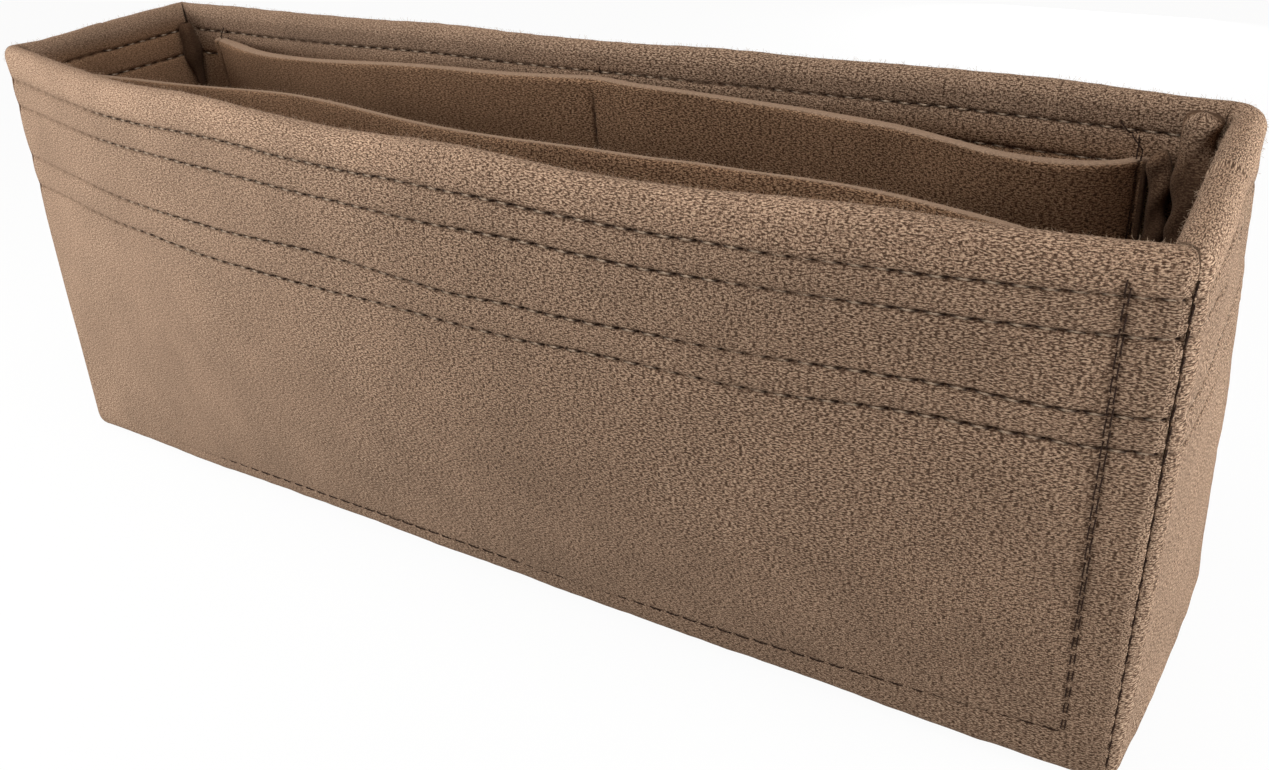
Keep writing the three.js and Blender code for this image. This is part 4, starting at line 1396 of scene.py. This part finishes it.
def loose_fibre_tree():
    """Geometry nodes: fine bent fibres that stand off the felt wherever its fuzz is marked"""
    inputs = {
        "Geometry": ("Geometry", None),
        "Density": ("Float", 1000000.0),
        "Fibre length": ("Float", 0.001),
        "Fibre thickness": ("Float", 0.00005),
        "Seed": ("Int", 0),
        "Material": ("Material", None),
    }
    tree = new_group("Loose fibres", "GeometryNodeTree", inputs, {"Geometry": "Geometry"})
    t = Tree(tree)
    given = t.node("NodeGroupInput").outputs
    fuzz = t.node("GeometryNodeInputNamedAttribute", {"Name": "fuzz"}, data_type="FLOAT")
    density = t.math("MULTIPLY", fuzz.outputs[0], given["Density"])
    scatter = {"Mesh": given["Geometry"], "Density": density, "Seed": given["Seed"]}
    spread = t.node("GeometryNodeDistributePointsOnFaces", scatter, distribute_method="RANDOM")
    tall, wide, high = (t.math("MULTIPLY", given["Fibre length"], share) for share in (0.55, 0.35, 0.85))
    middle = t.node("ShaderNodeCombineXYZ", {"Z": tall})
    end = t.node("ShaderNodeCombineXYZ", {"X": wide, "Z": high})
    bow = t.node("GeometryNodeCurveQuadraticBezier", {"Resolution": 3, "Start": (0, 0, -0.0001)})
    t.feed(bow.inputs["Middle"], middle.outputs[0])
    t.feed(bow.inputs["End"], end.outputs[0])
    half = t.math("MULTIPLY", given["Fibre thickness"], 0.5)
    round_profile = t.node("GeometryNodeCurvePrimitiveCircle", {"Resolution": 3, "Radius": half})
    sweep = {"Curve": bow, "Profile Curve": round_profile, "Fill Caps": True}
    fibre = t.node("GeometryNodeCurveToMesh", sweep)
    tilt = t.node("FunctionNodeRandomValue", data_type="FLOAT_VECTOR")
    t.feed(tilt.inputs[0], (-1.1, -1.1, -math.pi))
    t.feed(tilt.inputs[1], (1.1, 1.1, math.pi))
    t.feed(tilt.inputs["Seed"], given["Seed"])
    turns = {"Rotation": spread.outputs["Rotation"], "Rotate By": tilt}
    turn = t.node("FunctionNodeRotateRotation", turns, rotation_space="LOCAL")
    scale = t.node("FunctionNodeRandomValue", data_type="FLOAT")
    t.feed(scale.inputs[2], 0.35)
    t.feed(scale.inputs[3], 1.0)
    t.feed(scale.inputs["Seed"], given["Seed"])
    placed = t.node("GeometryNodeInstanceOnPoints", {"Points": spread.outputs["Points"], "Instance": fibre})
    t.feed(placed.inputs["Rotation"], turn)
    t.feed(placed.inputs["Scale"], scale.outputs[1])
    real = t.node("GeometryNodeRealizeInstances", {"Geometry": placed})
    finished = t.node("GeometryNodeSetMaterial", {"Geometry": real, "Material": given["Material"]})
    t.node("NodeGroupOutput", {0: finished})


def modifier_input(tree, name):
    """The identifier of a tree's named input"""
    for item in tree.interface.items_tree:
        if item.item_type == "SOCKET" and item.in_out == "INPUT" and item.name == name:
            return item.identifier
    raise KeyError(f"the tree has no input named {name}")


def evaluated_mesh(name, host_mesh, tree, values):
    """The plain mesh that a geometry nodes tree makes from a host mesh"""
    host = bpy.data.objects.new(name + "_host", host_mesh)
    bpy.context.scene.collection.objects.link(host)
    modifier = host.modifiers.new(tree.name, "NODES")
    modifier.node_group = tree
    for key, value in values.items():
        modifier[modifier_input(tree, key)] = value
    host.update_tag()
    graph = bpy.context.evaluated_depsgraph_get()
    graph.update()
    made = bpy.data.meshes.new_from_object(host.evaluated_get(graph), depsgraph=graph)
    made.name = name
    host.modifiers.remove(modifier)
    bpy.data.objects.remove(host)
    if not made.vertices:
        raise RuntimeError(f"{name} came out empty")
    return made


def path_mesh(name, points, out):
    """A line of needle holes as a mesh, with the way out of the cloth at each"""
    mesh = bpy.data.meshes.new(name + "_path")
    edges = [(i, i + 1) for i in range(len(points) - 1)]
    mesh.from_pydata(points.tolist(), edges, [])
    attribute = mesh.attributes.new("out", "FLOAT_VECTOR", "POINT")
    attribute.data.foreach_set("vector", out.astype(np.float32).ravel())
    return mesh


def thread_mesh(shape, name, runs, seed):
    """One seam's thread, on the outer face and, where it shows, on the inner one"""
    seams = shape.seams
    tree = bpy.data.node_groups["Sewn thread"]
    material = bpy.data.materials["Thread"]
    meshes = []
    for i, (points, out) in enumerate(runs):
        sunk = shape.felt.corner_dip if "corner" in name or "base" in name else seams.groove + seams.puff
        doubled = "pocket" in name and i % 2 == 0
        if doubled:
            sunk *= seams.end_pull
        values = {
            "Stitches": len(points) - 1,
            "Thread diameter": seams.double_thread if doubled else seams.thread,
            "Lift": seams.lift * (seams.double_lift if doubled else 1) - sunk,
            "Dive": seams.dive + sunk,
            "Drift": seams.drift,
            "Slant": seams.corner_slant if "corner" in name else seams.slant,
            # Only the hem threads get a painted highlight; the others are painted dark as shade
            "Shine": 1.0 if "hem" in name else 0.0,
            "Seed": seed * 10 + i,
            "Material": material,
        }
        settled = shape.settle(points)
        settled = settled - out * (seams.sink * left_veil(settled))[:, None]
        host = path_mesh(name, settled, out)
        meshes.append(evaluated_mesh(f"{name}_{i}", host, tree, values))
    return joined_meshes(name, meshes)


def joined_meshes(name, meshes):
    """One mesh from several, with their shine and how far the felt hides them"""
    points, faces, shine = [], [], []
    for mesh in meshes:
        start = len(points)
        points += [tuple(v.co) for v in mesh.vertices]
        faces += [tuple(start + i for i in p.vertices) for p in mesh.polygons]
        shine += [value.value for value in mesh.attributes["shine"].data]
    joined = bpy.data.meshes.new(name)
    joined.from_pydata(points, [], faces)
    joined.polygons.foreach_set("use_smooth", [True] * len(joined.polygons))
    write_mark(joined, "shine", shine)
    write_mark(joined, "veil", left_veil(np.array(points)))
    joined.update()
    return joined


class InsertOperator(bpy.types.Operator):
    """Common ground of the insert's operators"""

    bl_options = {"REGISTER"}

    def build(self, scene, shape):
        raise NotImplementedError

    def execute(self, context):
        self.build(context.scene, Shape(context.scene))
        return {"FINISHED"}


class INSERT_OT_stage(InsertOperator):
    """Sets up the floor, the lamps and the camera"""

    bl_idname = "insert.stage"
    bl_label = "Stage"

    def build(self, scene, shape):
        stage = scene.insert_stage
        scene.view_settings.view_transform = "Standard"
        add_camera(scene, stage)
        add_floor(scene)
        add_lamp(scene, "Key", (-0.31, -0.30, 0.14), (-0.04, -0.03, 0.05), 0.22, stage.key)
        add_lamp(scene, "Fill", (0.46, 0.0, 0.075), (0.14, 0.0, 0.06), 0.14, stage.fill)
        add_lamp(scene, "Top", (0.04, -0.10, 0.45), (0.03, 0.0, 0.1), 0.25, stage.top)
        add_lamp(scene, "Back", (0.0, 0.55, 0.04), (0.0, 0.04, 0.04), 0.12, stage.back)
        add_sky(scene, stage.sky)


class INSERT_OT_materials(InsertOperator):
    """Makes the materials, and the trees that shape the threads and the loose fibres"""

    bl_idname = "insert.materials"
    bl_label = "Materials"

    def build(self, scene, shape):
        felt_material(scene, felt_grain_group())
        thread_material(scene)
        fibre_material(scene)
        sewn_thread_tree()
        loose_fibre_tree()


class INSERT_OT_main_panel(InsertOperator):
    """Makes the front wall, base and back wall of one length of felt"""

    bl_idname = "insert.main_panel"
    bl_label = "Main panel"

    def build(self, scene, shape):
        mesh, flat = main_panel_mesh(shape, seam_paths(shape))
        piece = add_piece("main_felt", mesh, bpy.data.materials["Felt"], ["main_panel"])


class INSERT_OT_gussets(InsertOperator):
    """Makes the two end walls and the seam allowances turned in at the corners"""

    bl_idname = "insert.gussets"
    bl_label = "End walls"

    def build(self, scene, shape):
        paths = seam_paths(shape)
        for side in (LEFT, RIGHT):
            mesh, flat = gusset_mesh(shape, paths, side)
            node = f"{SIDE_NAMES[side]}_gusset"
            piece = add_piece(mesh.name, mesh, bpy.data.materials["Felt"], [node])
        for name, side_x, side_y, *sizes in ALLOWANCES:
            from_end, width, thick, drop = (size * MM for size in sizes[:4])
            fold = allowance_mesh(shape, side_x, side_y, name, from_end, width, thick, drop, *sizes[4:])
            add_piece(name, fold, bpy.data.materials["Felt"])


class INSERT_OT_pockets(InsertOperator):
    """Makes the front and rear slip pockets"""

    bl_idname = "insert.pockets"
    bl_label = "Slip pockets"

    def build(self, scene, shape):
        paths = seam_paths(shape)
        for side, node in ((FRONT, "front_pocket_panel"), (BACK, "rear_pocket_panel")):
            mesh, flat = pocket_mesh(shape, paths, side)
            piece = add_piece(mesh.name, mesh, bpy.data.materials["Felt"], [node])


class INSERT_OT_seams(InsertOperator):
    """Sews every seam"""

    bl_idname = "insert.seams"
    bl_label = "Seams"

    def build(self, scene, shape):
        for seed, (node, runs) in enumerate(seam_paths(shape).items()):
            name = node.replace("thread", "stitches")
            mesh = thread_mesh(shape, name, runs, seed)
            add_piece(name, mesh, bpy.data.materials["Thread"], [node])


class INSERT_OT_fibres(InsertOperator):
    """Raises loose fibres along the rims and the pockets' cut edges"""

    bl_idname = "insert.fibres"
    bl_label = "Loose fibres"

    def build(self, scene, shape):
        fuzz = scene.insert_fuzz
        tree = bpy.data.node_groups["Loose fibres"]
        material = bpy.data.materials["Loose fibre"]
        felts = ("main_felt", "left_end_felt", "right_end_felt", "front_pocket_felt", "rear_pocket_felt")
        for seed, felt in enumerate(felts):
            values = {
                "Density": fuzz.density,
                "Fibre length": fuzz.fibre_length,
                "Fibre thickness": fuzz.fibre_thickness,
                "Seed": seed,
                "Material": material,
            }
            name = felt.replace("felt", "fibres")
            mesh = evaluated_mesh(name, bpy.data.objects[felt].data.copy(), tree, values)
            add_piece(name, mesh, material)


def add_camera(scene, stage):
    """The camera at the photograph's viewing angle"""
    data = bpy.data.cameras.new("Camera")
    camera = bpy.data.objects.new("Camera", data)
    scene.collection.objects.link(camera)
    data.sensor_fit = "HORIZONTAL"
    data.sensor_width = 36
    data.lens = data.sensor_width * stage.focal_pixels / stage.picture_width
    data.clip_start = 0.01
    data.clip_end = 20
    look, right = Vector(stage.look).normalized(), Vector(stage.right).normalized()
    up = right.cross(look).normalized()
    turn = Matrix((right, up, -look)).transposed()
    camera.matrix_world = Matrix.Translation(Vector(stage.eye)) @ turn.to_4x4()
    scene.camera = camera


def seen_directly(t):
    """One where a surface is seen, in a mirror or through glass too, and nought where it only gives light"""
    path = t.node("ShaderNodeLightPath")
    seen = t.math("MAXIMUM", path.outputs["Is Camera Ray"], path.outputs["Is Glossy Ray"])
    return t.math("MAXIMUM", seen, path.outputs["Is Transmission Ray"])


def add_floor(scene):
    """A plain pale floor that keeps the object's shadow"""
    half = 2.5
    mesh = bpy.data.meshes.new("Floor")
    corners = [(-half, -half, 0), (half, -half, 0), (half, half, 0), (-half, half, 0)]
    mesh.from_pydata(corners, [], [(0, 1, 2, 3)])
    floor = bpy.data.objects.new("Floor", mesh)
    scene.collection.objects.link(floor)
    material, t, shader = new_material("Floor")
    lighting, shown, glowing = 0.52, 0.95, 0.95
    seen = seen_directly(t)
    t.feed(shader.inputs["Roughness"], 0.9)
    t.feed(shader.inputs["Base Color"], t.mixed(seen, (*[lighting] * 3, 1), (*[shown] * 3, 1)))
    glow = t.node("ShaderNodeEmission", {"Color": (1, 1, 1, 1), "Strength": 1.0})
    share = t.math("MULTIPLY", seen, glowing)
    mix = t.node("ShaderNodeMixShader", {0: share, 1: shader.outputs[0], 2: glow.outputs[0]})
    output = next(n for n in material.node_tree.nodes if n.type == "OUTPUT_MATERIAL")
    t.feed(output.inputs["Surface"], mix.outputs[0])
    mesh.materials.append(material)


def add_lamp(scene, name, place, target, size, power):
    """A soft square lamp that shines at a point"""
    data = bpy.data.lights.new(name, "AREA")
    data.shape = "SQUARE"
    data.size = size
    data.energy = power
    data.color = (0.93, 0.98, 1)
    lamp = bpy.data.objects.new(name, data)
    scene.collection.objects.link(lamp)
    way = Vector(target) - Vector(place)
    lamp.matrix_world = Matrix.Translation(Vector(place)) @ way.to_track_quat("-Z", "Y").to_matrix().to_4x4()


def add_sky(scene, strength):
    """Even light from all round, which the camera sees as white"""
    world = bpy.data.worlds.new("Sky")
    scene.world = world
    world.use_nodes = True
    t = Tree(world.node_tree)
    background = world.node_tree.nodes["Background"]
    seen = seen_directly(t)
    t.feed(background.inputs["Strength"], t.ranged(seen, 0.0, 1.0, strength, 1.0))
    t.feed(background.inputs["Color"], t.mixed(seen, (1, 0.82, 0.68, 1), (1, 1, 1, 1)))


class INSERT_PT_panel(bpy.types.Panel):
    """Lists the insert's parts in the sidebar"""

    bl_label = "Purse organizer insert"
    bl_space_type = "VIEW_3D"
    bl_region_type = "UI"
    bl_category = "Insert"

    def draw(self, context):
        for operator in OPERATORS:
            self.layout.operator(operator.bl_idname)
        for group in SETTINGS:
            for key in SETTINGS[group].__annotations__:
                self.layout.prop(getattr(context.scene, group), key)


SETTINGS = {
    "insert_box": InsertBox,
    "insert_felt": InsertFelt,
    "insert_pockets": InsertPockets,
    "insert_seams": InsertSeams,
    "insert_fuzz": InsertFuzz,
    "insert_colours": InsertColours,
    "insert_stage": InsertStage,
}
OPERATORS = (
    INSERT_OT_stage,
    INSERT_OT_materials,
    INSERT_OT_main_panel,
    INSERT_OT_gussets,
    INSERT_OT_pockets,
    INSERT_OT_seams,
    INSERT_OT_fibres,
)


def register():
    """Makes the settings, operators and panel known to Blender"""
    for name, group in SETTINGS.items():
        bpy.utils.register_class(group)
        setattr(bpy.types.Scene, name, PointerProperty(type=group))
    for operator in OPERATORS:
        bpy.utils.register_class(operator)
    bpy.utils.register_class(INSERT_PT_panel)


def unregister():
    """Takes them away again"""
    bpy.utils.unregister_class(INSERT_PT_panel)
    for operator in reversed(OPERATORS):
        bpy.utils.unregister_class(operator)
    for name, group in SETTINGS.items():
        delattr(bpy.types.Scene, name)
        bpy.utils.unregister_class(group)


def main():
    """Builds the insert"""
    register()
    bpy.ops.insert.stage()
    bpy.ops.insert.materials()
    bpy.ops.insert.main_panel()
    bpy.ops.insert.gussets()
    bpy.ops.insert.pockets()
    bpy.ops.insert.seams()
    bpy.ops.insert.fibres()


if __name__ == "__main__":
    main()
